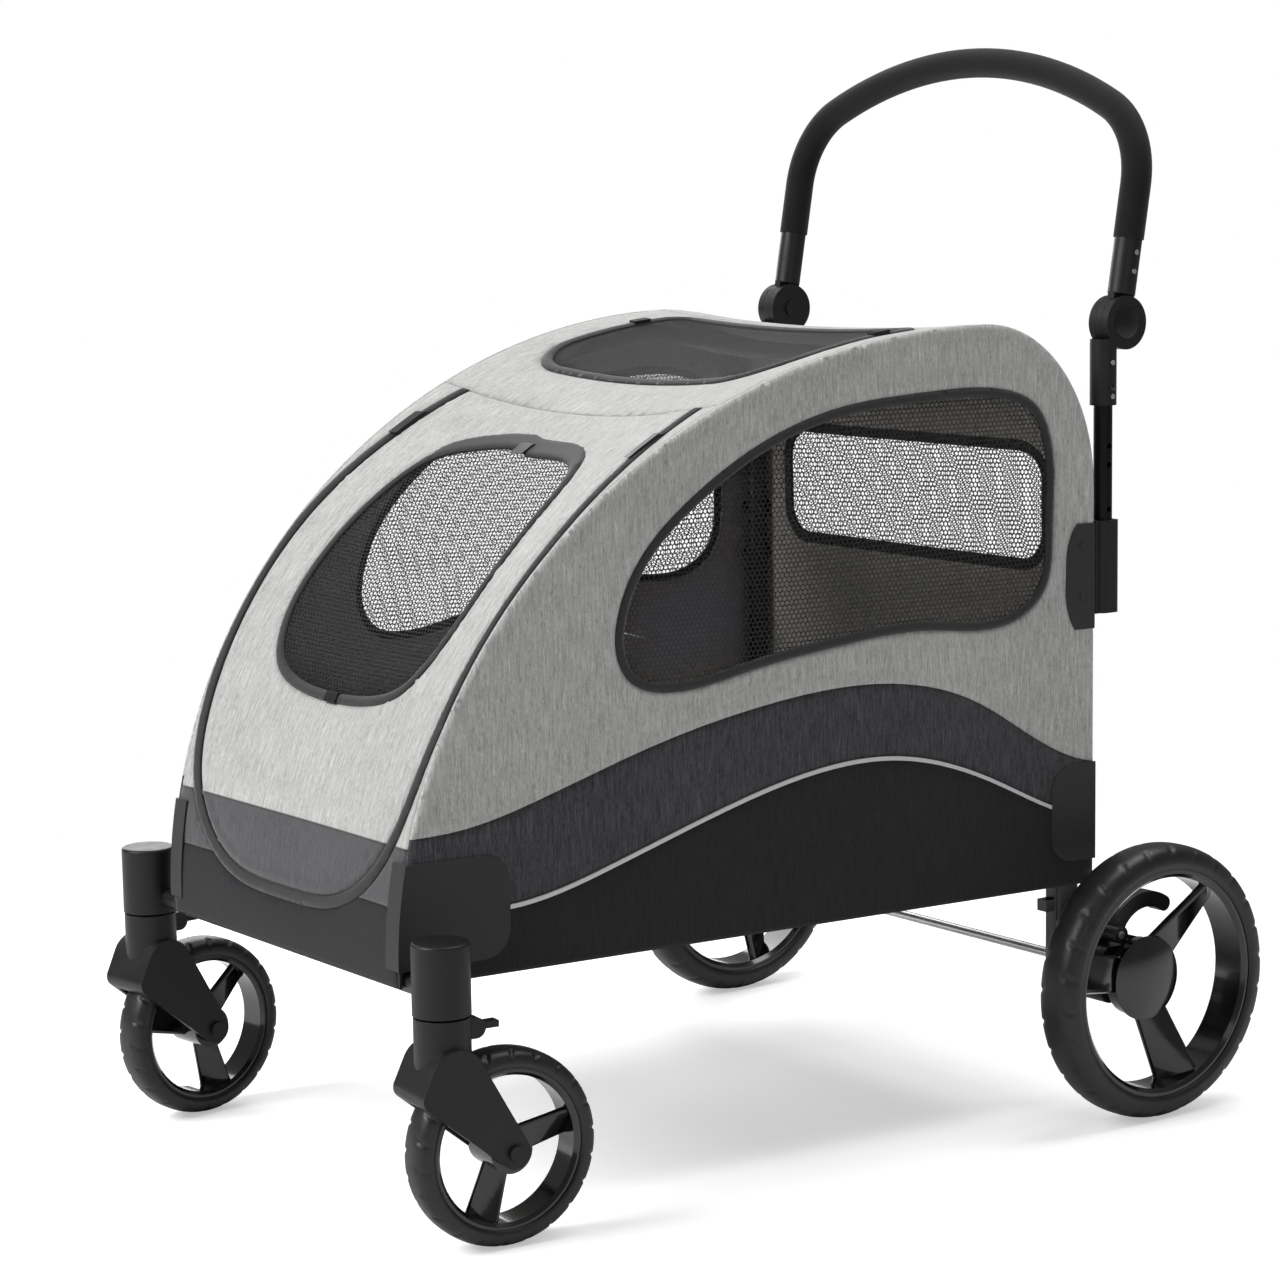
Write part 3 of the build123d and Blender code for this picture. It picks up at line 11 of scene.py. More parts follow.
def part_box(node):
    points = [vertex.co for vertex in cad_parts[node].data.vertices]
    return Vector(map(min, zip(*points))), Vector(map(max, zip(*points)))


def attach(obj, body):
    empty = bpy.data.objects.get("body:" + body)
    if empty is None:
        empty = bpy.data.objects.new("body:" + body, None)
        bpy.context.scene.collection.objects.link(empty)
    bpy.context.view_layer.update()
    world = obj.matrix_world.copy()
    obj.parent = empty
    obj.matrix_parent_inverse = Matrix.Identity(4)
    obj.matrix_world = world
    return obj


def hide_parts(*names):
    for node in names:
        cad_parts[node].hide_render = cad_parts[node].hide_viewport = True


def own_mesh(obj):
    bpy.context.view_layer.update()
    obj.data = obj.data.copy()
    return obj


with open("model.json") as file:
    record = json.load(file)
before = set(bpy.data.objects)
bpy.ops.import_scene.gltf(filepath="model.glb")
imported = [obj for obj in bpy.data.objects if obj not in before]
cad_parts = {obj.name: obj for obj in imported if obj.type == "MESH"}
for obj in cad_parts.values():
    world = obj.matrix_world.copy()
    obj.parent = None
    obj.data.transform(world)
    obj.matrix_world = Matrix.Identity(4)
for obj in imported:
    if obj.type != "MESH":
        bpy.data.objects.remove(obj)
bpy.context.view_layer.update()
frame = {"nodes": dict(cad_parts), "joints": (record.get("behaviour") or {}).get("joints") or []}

cad = frame["nodes"]
scene = bpy.context.scene
CLOTH_UV = "cloth"


# ------------------------------------------------------------------ material tools
# Every surface here is moulded, woven or coated; these helpers wire its shader.
def new_node(tree, kind, links=None, **settings):
    node = tree.nodes.new(kind)
    for key, value in settings.items():
        setattr(node, key, value)
    for key, value in (links or {}).items():
        socket = node.inputs[key]
        if isinstance(value, bpy.types.NodeSocket):
            tree.links.new(value, socket)
        else:
            socket.default_value = value
    return node


def new_material(name):
    material = bpy.data.materials.new(name)
    material.use_nodes = True
    tree = material.node_tree
    return material, tree, tree.nodes["Principled BSDF"]


def maths(tree, operation, a, b=0.0, clamp=False):
    node = new_node(tree, "ShaderNodeMath", {0: a, 1: b}, operation=operation, use_clamp=clamp)
    return node.outputs[0]


def ramp(tree, value, low, high):
    node = new_node(tree, "ShaderNodeMapRange", {"Value": value, "From Min": low, "From Max": high})
    return node.outputs[0]


def stretched(tree, vector, scale):
    node = new_node(tree, "ShaderNodeVectorMath", {0: vector, 1: scale}, operation="MULTIPLY")
    return node.outputs[0]


def noise_value(tree, vector, scale=1.0, detail=2.0, rough=0.5):
    links = {"Vector": vector, "Scale": scale, "Detail": detail, "Roughness": rough}
    return new_node(tree, "ShaderNodeTexNoise", links).outputs[0]


def mix_colour(tree, share, a, b):
    node = tree.nodes.new("ShaderNodeMix")
    node.data_type = "RGBA"
    for index, value in ((0, share), (6, a), (7, b)):
        if isinstance(value, bpy.types.NodeSocket):
            tree.links.new(value, node.inputs[index])
        else:
            node.inputs[index].default_value = value
    return node.outputs[2]


def bump(tree, height, strength, distance, normal=None):
    links = {"Height": height, "Strength": strength, "Distance": distance}
    if normal is not None:
        links["Normal"] = normal
    return new_node(tree, "ShaderNodeBump", links).outputs[0]


def wobble(tree, value, amount):
    """How far a value of 0 to 1 strays from its middle, times the amount."""
    return maths(tree, "MULTIPLY", maths(tree, "SUBTRACT", value, 0.5), amount)


def flat_length(tree, a, b):
    square = maths(tree, "ADD", maths(tree, "MULTIPLY", a, a), maths(tree, "MULTIPLY", b, b))
    return maths(tree, "SQRT", square)


def object_place(tree):
    return tree.nodes.new("ShaderNodeTexCoord").outputs["Object"]


def cloth_place(tree):
    return new_node(tree, "ShaderNodeUVMap", uv_map=CLOTH_UV).outputs[0]


def new_piece(name, mesh):
    piece = bpy.data.objects.new(name, mesh)
    scene.collection.objects.link(piece)
    return piece


# Cycles per metre across and along the warp, for each layer of the yarn's pattern.
FINE_STREAK = (1500, 170, 1)
BROAD_STREAK = (420, 34, 1)
CROSS_STREAK = (120, 1300, 1)
SLUB_STREAK = (600, 26, 1)
WEAVE_RATE = 5200.0
SLUB_RANGE = (0.62, 0.72)


def melange_group():
    """Yarn of mixed fibres: streaks along the warp, slubs, and a plain weave."""
    group = bpy.data.node_groups.new("melange", "ShaderNodeTree")
    for name, kind in (("Vector", "Vector"), ("Streak", "Float"), ("Slub", "Float")):
        group.interface.new_socket(name, in_out="INPUT", socket_type="NodeSocket" + kind)
    for name in ("Tone", "Height"):
        group.interface.new_socket(name, in_out="OUTPUT", socket_type="NodeSocketFloat")
    source = group.nodes.new("NodeGroupInput")
    vector = source.outputs["Vector"]
    fine = noise_value(group, stretched(group, vector, FINE_STREAK), 1.0, 3.0, 0.65)
    broad = noise_value(group, stretched(group, vector, BROAD_STREAK), 1.0, 4.0, 0.7)
    cross = noise_value(group, stretched(group, vector, CROSS_STREAK), 1.0, 2.0, 0.5)
    slub = noise_value(group, stretched(group, vector, SLUB_STREAK), 1.0, 1.0, 0.4)
    slub = ramp(group, slub, *SLUB_RANGE)
    fine = maths(group, "SUBTRACT", fine, 0.5)
    broad = maths(group, "SUBTRACT", broad, 0.5)
    cross = maths(group, "SUBTRACT", cross, 0.5)
    tone = maths(group, "MULTIPLY", fine, source.outputs["Streak"])
    tone = maths(group, "ADD", tone, maths(group, "MULTIPLY", broad, source.outputs["Streak"]))
    tone = maths(group, "ADD", tone, maths(group, "MULTIPLY", cross, 0.35))
    tone = maths(group, "ADD", tone, maths(group, "MULTIPLY", slub, source.outputs["Slub"]))
    split = new_node(group, "ShaderNodeSeparateXYZ", {0: vector})
    warp = maths(group, "SINE", maths(group, "MULTIPLY", split.outputs[0], WEAVE_RATE))
    weft = maths(group, "SINE", maths(group, "MULTIPLY", split.outputs[1], WEAVE_RATE))
    weave = maths(group, "MULTIPLY", warp, weft)
    height = maths(group, "ADD", maths(group, "MULTIPLY", weave, 0.35), tone)
    sink = group.nodes.new("NodeGroupOutput")
    group.links.new(maths(group, "ADD", tone, 0.5), sink.inputs["Tone"])
    group.links.new(height, sink.inputs["Height"])
    return group


MELANGE = melange_group()


def cloth_material(name, dark, light, streak, slub, rough=0.9, sheen=0.25, strength=0.35):
    """Woven cloth read along its own UV map, in metres."""
    material, tree, shader = new_material(name)
    uv = cloth_place(tree)
    yarn = new_node(tree, "ShaderNodeGroup", node_tree=MELANGE)
    tree.links.new(uv, yarn.inputs["Vector"])
    yarn.inputs["Streak"].default_value = streak
    yarn.inputs["Slub"].default_value = slub
    large = noise_value(tree, stretched(tree, uv, (9, 7, 1)), 1.0, 3.0, 0.5)
    tone = maths(tree, "ADD", yarn.outputs["Tone"], wobble(tree, large, 0.25), True)
    colour = mix_colour(tree, tone, (*dark, 1), (*light, 1))
    tree.links.new(colour, shader.inputs["Base Color"])
    shader.inputs["Roughness"].default_value = rough
    shader.inputs["Specular IOR Level"].default_value = 0.2
    shader.inputs["Sheen Weight"].default_value = sheen
    shader.inputs["Sheen Roughness"].default_value = 0.6
    tree.links.new(bump(tree, yarn.outputs["Height"], strength, 0.0006), shader.inputs["Normal"])
    return material


def plastic_material(name, colour, rough, grain=2200.0, strength=0.08, edge=0.0008, coat=0.0):
    """Moulded plastic: softened edges, a fine grain and faint handling marks."""
    material, tree, shader = new_material(name)
    place = object_place(tree)
    marks = noise_value(tree, place, 38.0, 5.0, 0.65)
    speck = noise_value(tree, place, grain, 2.0, 0.5)
    shade = maths(tree, "ADD", maths(tree, "MULTIPLY", marks, 0.5), 0.75)
    joined = new_node(tree, "ShaderNodeCombineXYZ", {0: shade, 1: shade, 2: shade}).outputs[0]
    tree.links.new(stretched(tree, colour, joined), shader.inputs["Base Color"])
    worn = maths(tree, "ADD", wobble(tree, marks, 0.28), rough, True)
    tree.links.new(worn, shader.inputs["Roughness"])
    shader.inputs["Specular IOR Level"].default_value = 0.35
    shader.inputs["Coat Weight"].default_value = coat
    shader.inputs["Coat Roughness"].default_value = 0.08
    rounded = new_node(tree, "ShaderNodeBevel", {"Radius": edge}, samples=4).outputs[0]
    tree.links.new(bump(tree, speck, strength, 0.0004, rounded), shader.inputs["Normal"])
    return material


def metal_material(name, colour, rough, edge=0.0006):
    """Coated or bare metal with fine streaks along the part."""
    material, tree, shader = new_material(name)
    place = object_place(tree)
    streaks = noise_value(tree, stretched(tree, place, (900, 900, 30)), 1.0, 3.0, 0.6)
    shader.inputs["Base Color"].default_value = (*colour, 1)
    shader.inputs["Metallic"].default_value = 1.0
    worn = maths(tree, "ADD", maths(tree, "MULTIPLY", streaks, 0.2), rough - 0.1, True)
    tree.links.new(worn, shader.inputs["Roughness"])
    rounded = new_node(tree, "ShaderNodeBevel", {"Radius": edge}, samples=4).outputs[0]
    tree.links.new(rounded, shader.inputs["Normal"])
    return material


def coated_material(name, colour, rough):
    """Powder-coated tube: a dark satin skin with a fine orange peel."""
    material, tree, shader = new_material(name)
    place = object_place(tree)
    peel = noise_value(tree, place, 900.0, 2.0, 0.5)
    shader.inputs["Base Color"].default_value = (*colour, 1)
    shader.inputs["Roughness"].default_value = rough
    shader.inputs["Specular IOR Level"].default_value = 0.6
    tree.links.new(bump(tree, peel, 0.08, 0.0003), shader.inputs["Normal"])
    return material


def paint(material, *names):
    for name in names:
        mesh = cad[name].data
        mesh.materials.clear()
        mesh.materials.append(material)


# ------------------------------------------------------------------ underframe and folding frame
# Black powder-coated steel tubes carry the cabin; they show below its hem and through the mesh.
STEEL = coated_material("frame_steel", (0.006, 0.006, 0.0065), 0.38)
ZINC = metal_material("zinc_pins", (0.55, 0.55, 0.56), 0.3)
paint(STEEL, "base_frame", "front_arch", "rear_frame_tubes", "rear_legs")
paint(ZINC, "hinge_pins", "rear_axle", "arm_screws", "sleeve_screws")

# ------------------------------------------------------------------ moulded fittings
# Housings, forks, brackets, knuckles and brakes are matte black nylon; buttons are smoother.
NYLON = plastic_material("black_nylon", (0.006, 0.006, 0.0065), 0.46)
SMOOTH = plastic_material("button_plastic", (0.006, 0.006, 0.0065), 0.3, 1500.0, 0.03)
GLOSS = plastic_material("gloss_wheel", (0.004, 0.004, 0.0045), 0.16, 900.0, 0.02, 0.0012, 0.6)
paint(NYLON, "caster_housings", "axle_blocks", "knuckle_pins")
paint(NYLON, "handle_brackets", "handle_sleeves", "handle_arms")
for side in ("left", "right"):
    paint(NYLON, f"fork_{side}", f"swivel_lock_{side}")
    paint(NYLON, f"brake_pedal_{side}", f"front_axle_bolt_{side}")
    paint(SMOOTH, f"tilt_button_{side}", f"height_button_{side}")
    paint(GLOSS, f"rear_rim_{side}", f"front_rim_{side}", f"hub_cap_{side}")
POST = metal_material("black_anodised", (0.02, 0.02, 0.022), 0.34)
paint(POST, "handle_posts", "handle_tube")

# ------------------------------------------------------------------ tyres
# Satin rubber rings with short slanted grooves moulded over each shoulder.
def tyre_material():
    material, tree, shader = new_material("tyre_rubber")
    place = object_place(tree)
    dust = noise_value(tree, place, 55.0, 6.0, 0.7)
    grain = noise_value(tree, place, 1600.0, 2.0, 0.5)
    clean = (0.004, 0.004, 0.0045, 1)
    dusty = (0.009, 0.009, 0.0095, 1)
    colour = mix_colour(tree, ramp(tree, dust, 0.45, 0.75), clean, dusty)
    tree.links.new(colour, shader.inputs["Base Color"])
    rough = maths(tree, "ADD", maths(tree, "MULTIPLY", dust, 0.22), 0.33)
    tree.links.new(rough, shader.inputs["Roughness"])
    tree.links.new(bump(tree, grain, 0.12, 0.0004), shader.inputs["Normal"])
    return material


RUBBER = tyre_material()
# Outer radius, width, depth of the section and number of grooves.
TREADS = {"rear": (0.140, 0.048, 0.024, 26), "front": (0.0915, 0.039, 0.017, 22)}
TREAD_DEPTH = 0.0016
TREAD_INSET = 0.0004
TYRE_STEPS = 360
SECTION_STEPS = 26
# Grooves lean by a share of their pitch and lie round a share of the half width.
GROOVE_SLANT = 0.35
GROOVE_HALF = 0.10
SHOULDER_MIDDLE = 0.72
SHOULDER_REACH = 0.30


def tyre_section(radius, width, depth, count):
    """Points (across, radius) round a tyre's section, from one bead over the tread to the other."""
    half = width / 2
    shoulder = 0.62 * half
    points = []
    for i in range(count + 1):
        t = math.pi * i / count
        across = -half * math.copysign(abs(math.cos(t)) ** 0.75, math.cos(t))
        rise = max(0.0, math.sin(t)) ** 0.55
        points.append((across, radius - depth + depth * rise))
    points.append((shoulder, radius - depth))
    points.append((-shoulder, radius - depth))
    return points


def build_tyre(name, node_name, kind, body):
    radius, width, depth, grooves = TREADS[kind]
    low, high = (Vector(corner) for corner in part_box(node_name))
    joint = next(j for j in frame["joints"] if j["child"] == body)
    axis = Vector(joint["axis"]).normalized()
    hub = Vector(joint["pos_m"])
    centre = hub + axis * ((low + high) / 2 - hub).dot(axis)
    up = Vector((0, 0, 1))
    forward = axis.cross(up).normalized()
    section = tyre_section(radius, width - TREAD_INSET, depth, SECTION_STEPS)
    mesh = bpy.data.meshes.new(name)
    bm = bmesh.new()
    rings = []
    for i in range(TYRE_STEPS):
        turn = 2 * math.pi * i / TYRE_STEPS
        radial = forward * math.cos(turn) + up * math.sin(turn)
        ring = []
        for k, (across, r) in enumerate(section):
            share = abs(across) / (width / 2)
            phase = turn * grooves / (2 * math.pi) + GROOVE_SLANT * share
            phase = (phase + (0.5 if across > 0 else 0.0)) % 1.0
            in_groove = max(0.0, 1 - abs(phase - 0.5) / GROOVE_HALF)
            on_shoulder = max(0.0, 1 - abs(share - SHOULDER_MIDDLE) / SHOULDER_REACH)
            if k > SECTION_STEPS:
                on_shoulder = 0.0
            cut = TREAD_DEPTH * min(1.0, 2.5 * in_groove) * min(1.0, 2.0 * on_shoulder)
            pinched = across * (1 - 0.6 * cut / width)
            ring.append(bm.verts.new(centre + axis * pinched + radial * (r - cut)))
        rings.append(ring)
    count = len(section)
    for i in range(TYRE_STEPS):
        here = rings[i]
        there = rings[(i + 1) % TYRE_STEPS]
        for k in range(count):
            bm.faces.new((here[k], there[k], there[(k + 1) % count], here[(k + 1) % count]))
    bmesh.ops.recalc_face_normals(bm, faces=bm.faces)
    bm.to_mesh(mesh)
    bm.free()
    mesh.polygons.foreach_set("use_smooth", [True] * len(mesh.polygons))
    mesh.materials.append(RUBBER)
    piece = new_piece(name, mesh)
    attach(piece, body)
    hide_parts(node_name)


for kind in TREADS:
    for side in ("left", "right"):
        build_tyre(f"{kind}_tread_{side}", f"{kind}_tyre_{side}", kind, f"{kind}_wheel_{side}")


# ------------------------------------------------------------------ cabin cloth tools
# The cabin is sewn from panels: each one puffs a little between its seams and dips along them.
top_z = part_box("side_panels")[1][2]
rear_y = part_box("rear_cloth")[1][1]
front_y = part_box("lower_end_panels")[0][1]
REAR_REACH = 0.135
REAR_RISE = 0.165
crown_y = rear_y - REAR_REACH
FRONT_REACH = crown_y - front_y
FRONT_RISE = 0.556
HALF_AT_CROWN = 0.267
TAPER = 0.0821
CLOTH = 0.003
HEM_Z = 0.232
HEM_STEPS = 9
FRONT_STEPS = 220
REAR_STEPS = 80
BACK_STEPS = 40
# How squarely a face must look outwards, and how near a side's plane it must lie.
WRAP_FACING = 0.6
SIDE_FACING = 0.9
SIDE_REACH = 0.012
LEAST_AREA = 1e-10


def half_width(y):
    return HALF_AT_CROWN + TAPER * (y - crown_y)


def make_profile():
    """Stations down the middle line of front, roof and back: y, z, outward normal, sag, length."""
    rows = []
    rise = top_z - FRONT_RISE - HEM_Z
    for i in range(HEM_STEPS):
        rows.append((front_y, HEM_Z + rise * i / HEM_STEPS, -1.0, 0.0, 0.001))
    for i in range(FRONT_STEPS + 1):
        degrees = 90 * i / FRONT_STEPS
        a = math.radians(degrees)
        sag = 0.001 + 0.019 * math.sin(math.radians(min(degrees * 1.6, 90)))
        sag -= 0.008 * (max(degrees - 60, 0) / 30) ** 2
        dy = FRONT_REACH * math.sin(a)
        dz = FRONT_RISE * math.cos(a)
        length = math.hypot(dy, dz)
        y = crown_y - FRONT_REACH * math.cos(a)
        z = top_z - FRONT_RISE + FRONT_RISE * math.sin(a)
        rows.append((y, z, -dz / length, dy / length, sag))
    for i in range(1, REAR_STEPS + 1):
        degrees = 90 - 90 * i / REAR_STEPS
        a = math.radians(degrees)
        dy = REAR_REACH * math.sin(a)
        dz = -REAR_RISE * math.cos(a)
        length = math.hypot(dy, dz)
        y = crown_y + REAR_REACH * math.cos(a)
        z = top_z - REAR_RISE + REAR_RISE * math.sin(a)
        rows.append((y, z, -dz / length, dy / length, 0.003 + 0.009 * (degrees / 90) ** 2))
    fall = HEM_Z - top_z + REAR_RISE
    for i in range(1, BACK_STEPS + 1):
        rows.append((rear_y, top_z - REAR_RISE + fall * i / BACK_STEPS, 1.0, 0.0, 0.003))
    table = np.array(rows)
    steps = np.hypot(np.diff(table[:, 0]), np.diff(table[:, 1]))
    return np.column_stack([table, np.concatenate([[0], np.cumsum(steps)])])


PROFILE = make_profile()


class Wrap:
    """The sheet over front, roof and back; its flat place is (x, length along the profile)."""

    def at(self, u, v):
        y, z, ny, nz, sag = (np.interp(v, PROFILE[:, 5], PROFILE[:, k]) for k in range(5))
        scale = np.hypot(ny, nz)
        ny, nz = ny / scale, nz / scale
        w = half_width(y) - CLOTH
        drop = sag * (1 - np.clip(u / w, -1, 1) ** 2)
        place = np.stack([u, y - ny * drop, z - nz * drop], -1)
        lean = 2 * sag * u / w**2
        normal = np.stack([-lean, ny, nz], -1)
        return place, normal / np.linalg.norm(normal, axis=-1, keepdims=True)

    def flat(self, point):
        x, y, z = point
        v = PROFILE[:, 5]
        place, _ = self.at(np.full(len(v), x), v)
        away = np.hypot(place[:, 1] - y, place[:, 2] - z)
        i = int(np.argmin(away))
        i = min(max(i, 1), len(v) - 2)
        best = (away[i], v[i])
        for a in (i - 1, i):
            p, q = place[a, 1:], place[a + 1, 1:]
            t = np.clip(np.dot((y, z) - p, q - p) / max(np.dot(q - p, q - p), 1e-12), 0, 1)
            gap = np.linalg.norm(p + t * (q - p) - (y, z))
            best = min(best, (gap, v[a] + t * (v[a + 1] - v[a])))
        return x, best[1]

    def outward(self, point, normal):
        _, out = self.at(np.array([point[0]]), np.array([self.flat(point)[1]]))
        return float(np.dot(out[0], normal)) > WRAP_FACING


class Side:
    """A flat side panel: flat place is (length rearwards, height)."""

    def __init__(self, sign):
        self.sign = sign
        self.slant = math.hypot(1, TAPER)

    def at(self, u, v):
        y = u / self.slant
        place = np.stack([self.sign * half_width(y), y, v], -1)
        normal = np.zeros_like(place) + np.array([self.sign, -TAPER, 0]) / self.slant
        return place, normal

    def flat(self, point):
        return point[1] * self.slant, point[2]

    def outward(self, point, normal):
        near = abs(point[0] * self.sign - half_width(point[1])) < SIDE_REACH
        return near and np.dot(normal, (self.sign, -TAPER, 0)) / self.slant > SIDE_FACING


def outer_loops(node_name, surface):
    """Closed outlines of the outward faces of a CAD node, on the surface's flat plan."""
    bm = bmesh.new()
    bm.from_mesh(cad[node_name].data)
    bmesh.ops.remove_doubles(bm, verts=bm.verts, dist=1e-5)
    bm.normal_update()
    faces = [
        f for f in bm.faces
        if f.calc_area() > LEAST_AREA and surface.outward(f.calc_center_median(), f.normal)
    ]
    outer = set(faces)
    after = {}
    for face in faces:
        for loop in face.loops:
            if sum(1 for f in loop.edge.link_faces if f in outer) == 1:
                after[loop.vert.index] = loop.link_loop_next.vert.index
    bm.verts.ensure_lookup_table()
    loops = []
    while after:
        start = next(iter(after))
        chain = [start]
        here = after.pop(start)
        while here != start and here in after:
            chain.append(here)
            here = after.pop(here)
        if len(chain) > 5:
            loops.append(np.array([surface.flat(tuple(bm.verts[i].co)) for i in chain]))
    bm.free()
    # Islands on the left come first, then those further along the profile.
    loops.sort(key=lambda loop: (round(loop.mean(0)[0], 2) < 0, -loop.mean(0)[1]))
    return loops


def resampled(loop, step):
    """The outline at even steps, with its corners kept."""
    closed = np.vstack([loop, loop[:1]])
    out = []
    for a, b in zip(closed[:-1], closed[1:]):
        n = max(1, int(np.linalg.norm(b - a) / step))
        out.extend(a + (b - a) * i / n for i in range(n))
    kept = [out[0]]
    for p in out[1:]:
        if np.linalg.norm(p - kept[-1]) > 0.3 * step:
            kept.append(p)
    return np.array(kept)


def inside(points, loops):
    """Even-odd test of flat points against all the outlines."""
    hit = np.zeros(len(points), bool)
    for loop in loops:
        a, b = loop, np.roll(loop, -1, 0)
        for (ax, ay), (bx, by) in zip(a, b):
            if ay == by:
                continue
            crosses = (ay > points[:, 1]) != (by > points[:, 1])
            x = (bx - ax) * (points[:, 1] - ay) / (by - ay) + ax
            hit ^= crosses & (points[:, 0] < x)
    return hit


def triangulated(loops, step):
    """Even triangles inside the outlines: flat points, faces and distance from the rim."""
    rim = np.vstack(loops)
    low = rim.min(0)
    high = rim.max(0)
    grid_u = np.arange(low[0] + step / 2, high[0], step)
    grid_v = np.arange(low[1] + step / 2, high[1], step * 0.87)
    points = [(u + (step / 2 if j % 2 else 0), v) for j, v in enumerate(grid_v) for u in grid_u]
    points = np.array(points)
    points = points[inside(points, loops)]
    gaps = np.linalg.norm(points[:, None] - rim[None], axis=2)
    away = np.min(gaps, 1) if len(points) else np.zeros(0)
    points = points[away > step * 0.45]
    flat = np.vstack([rim, points])
    edges = []
    base = 0
    for loop in loops:
        n = len(loop)
        edges += [(base + i, base + (i + 1) % n) for i in range(n)]
        base += n
    result = delaunay_2d_cdt([Vector(p) for p in flat], edges, [], 0, 1e-7)
    flat = np.array([tuple(p) for p in result[0]])
    faces = result[2]
    centres = np.array([flat[list(f)].mean(0) for f in faces])
    keep = inside(centres, loops)
    faces = [f for f, k in zip(faces, keep) if k]
    distance = np.array([np.min(np.linalg.norm(rim - p, axis=1)) for p in flat])
    return flat, faces, distance


def sewn_panel(name, node_name, surface, materials, step=0.009, puff=0.0012, edge=0.006,
               lift=None, thick=CLOTH, raise_by=0.0, island=None):
    """A cloth panel over a CAD node's outline, puffed between its edges, lined inside."""
    outlines = outer_loops(node_name, surface)
    if island is not None:
        outlines = [outlines[island]]
    loops = [resampled(loop, step * 0.7) for loop in outlines]
    size = np.ptp(np.vstack(loops), axis=0)
    flat, faces, distance = triangulated(loops, step)
    place, normal = surface.at(flat[:, 0], flat[:, 1])
    rise = puff * (1 - np.exp(-distance / edge)) - 0.25 * puff + raise_by
    if lift is not None:
        rise = rise + lift(place, flat, distance)
    outer = place + normal * rise[:, None]
    inner = outer - normal * thick
    bm = bmesh.new()
    uv = bm.loops.layers.uv.new(CLOTH_UV)
    top = [bm.verts.new(p) for p in outer]
    under = [bm.verts.new(p) for p in inner]
    used = {}
    for f in faces:
        a, b, c = f
        turn = np.dot(np.cross(outer[b] - outer[a], outer[c] - outer[a]), normal[a])
        if turn < 0:
            a, b, c = a, c, b
        skins = (
            bm.faces.new((top[a], top[b], top[c])),
            bm.faces.new((under[a], under[c], under[b])),
        )
        for index, skin in enumerate(skins):
            skin.material_index = min(index, len(materials) - 1)
            skin.smooth = True
        for p, q in ((a, b), (b, c), (c, a)):
            used[(p, q)] = True
    for p, q in used:
        if (q, p) not in used:
            side_face = bm.faces.new((top[q], top[p], under[p], under[q]))
            side_face.smooth = False
    index_of = {v: i % len(outer) for i, v in enumerate(top + under)}
    for face in bm.faces:
        for loop in face.loops:
            loop[uv].uv = flat[index_of[loop.vert]]
    for v in [v for v in bm.verts if not v.link_faces]:
        bm.verts.remove(v)
    mesh = bpy.data.meshes.new(name)
    bm.to_mesh(mesh)
    bm.free()
    for material in materials:
        mesh.materials.append(material)
    piece = new_piece(name, mesh)
    area = 0.0
    for f in faces:
        a, b, c = (flat[i] for i in f)
        area += abs((b[0] - a[0]) * (c[1] - a[1]) - (c[0] - a[0]) * (b[1] - a[1])) / 2
    piece["flat_area"] = area
    piece["flat_size"] = [float(x) for x in size]
    return piece


# A panel that fills less of its own box than this is declared as a strip of the same area.
LEAST_FILL = 0.32


def sink(piece):
    """Gives the piece its own copy of its mesh."""
    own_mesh(piece)


def sew(piece, node_name, body, folds=True, strip=None):
    """Hangs a finished cloth panel on the body it rides on and hides the CAD node it stands for."""
    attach(piece, body)
    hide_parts(node_name)
    width, length = piece["flat_size"]
    area = piece["flat_area"]
    if strip is not None or area < LEAST_FILL * width * length:
        width = strip or area / max(width, length)
        length = area / width
    if folds:
        sink(piece)


# ------------------------------------------------------------------ cabin panels
# Light grey melange above, a charcoal band, and near-black panels below the piping.
LIGHT = cloth_material("light_melange", (0.20, 0.20, 0.195), (0.60, 0.60, 0.585), 1.5, 0.22)
CHARCOAL = cloth_material(
    "charcoal_melange", (0.010, 0.010, 0.012), (0.085, 0.085, 0.092), 1.9, 0.45, sheen=0.1
)
BLACK = cloth_material(
    "black_weave", (0.005, 0.005, 0.006), (0.020, 0.020, 0.023), 1.2, 0.25, sheen=0.1
)
LINER = cloth_material("taupe_lining", (0.27, 0.25, 0.23), (0.44, 0.41, 0.38), 0.6, 0.05)


# Holes of a knitted mesh lie in a triangular grid: rows at this share of the pitch.
HEX_ROW = 0.866
HEX_STRETCH = 1.732


def mesh_threads(tree, uv, pitch, low, high):
    """One on the threads of a knitted mesh and zero in its round holes."""
    split = new_node(tree, "ShaderNodeSeparateXYZ", {0: uv})
    row = maths(tree, "DIVIDE", split.outputs[1], pitch * HEX_ROW)
    holes = []
    for shift in (0.0, 0.5):
        v = maths(tree, "ADD", maths(tree, "MULTIPLY", row, 0.5), shift)
        u = maths(tree, "ADD", maths(tree, "DIVIDE", split.outputs[0], pitch), shift)
        du = maths(tree, "SUBTRACT", maths(tree, "FRACT", u), 0.5)
        dv = maths(tree, "MULTIPLY", maths(tree, "SUBTRACT", maths(tree, "FRACT", v), 0.5), HEX_STRETCH)
        holes.append(ramp(tree, flat_length(tree, du, dv), high, low))
    hole = maths(tree, "MAXIMUM", holes[0], holes[1])
    return maths(tree, "SUBTRACT", 1.0, hole, True)


WINDOW_Z = 0.612
WINDOW_TRIM = 0.012
BACK_ROWS = 60
FRONT_ROWS = 100
WINDOW_MESH = (0.0052, 0.40, 0.43)
ROOF_MESH = (0.0040, 0.27, 0.31)


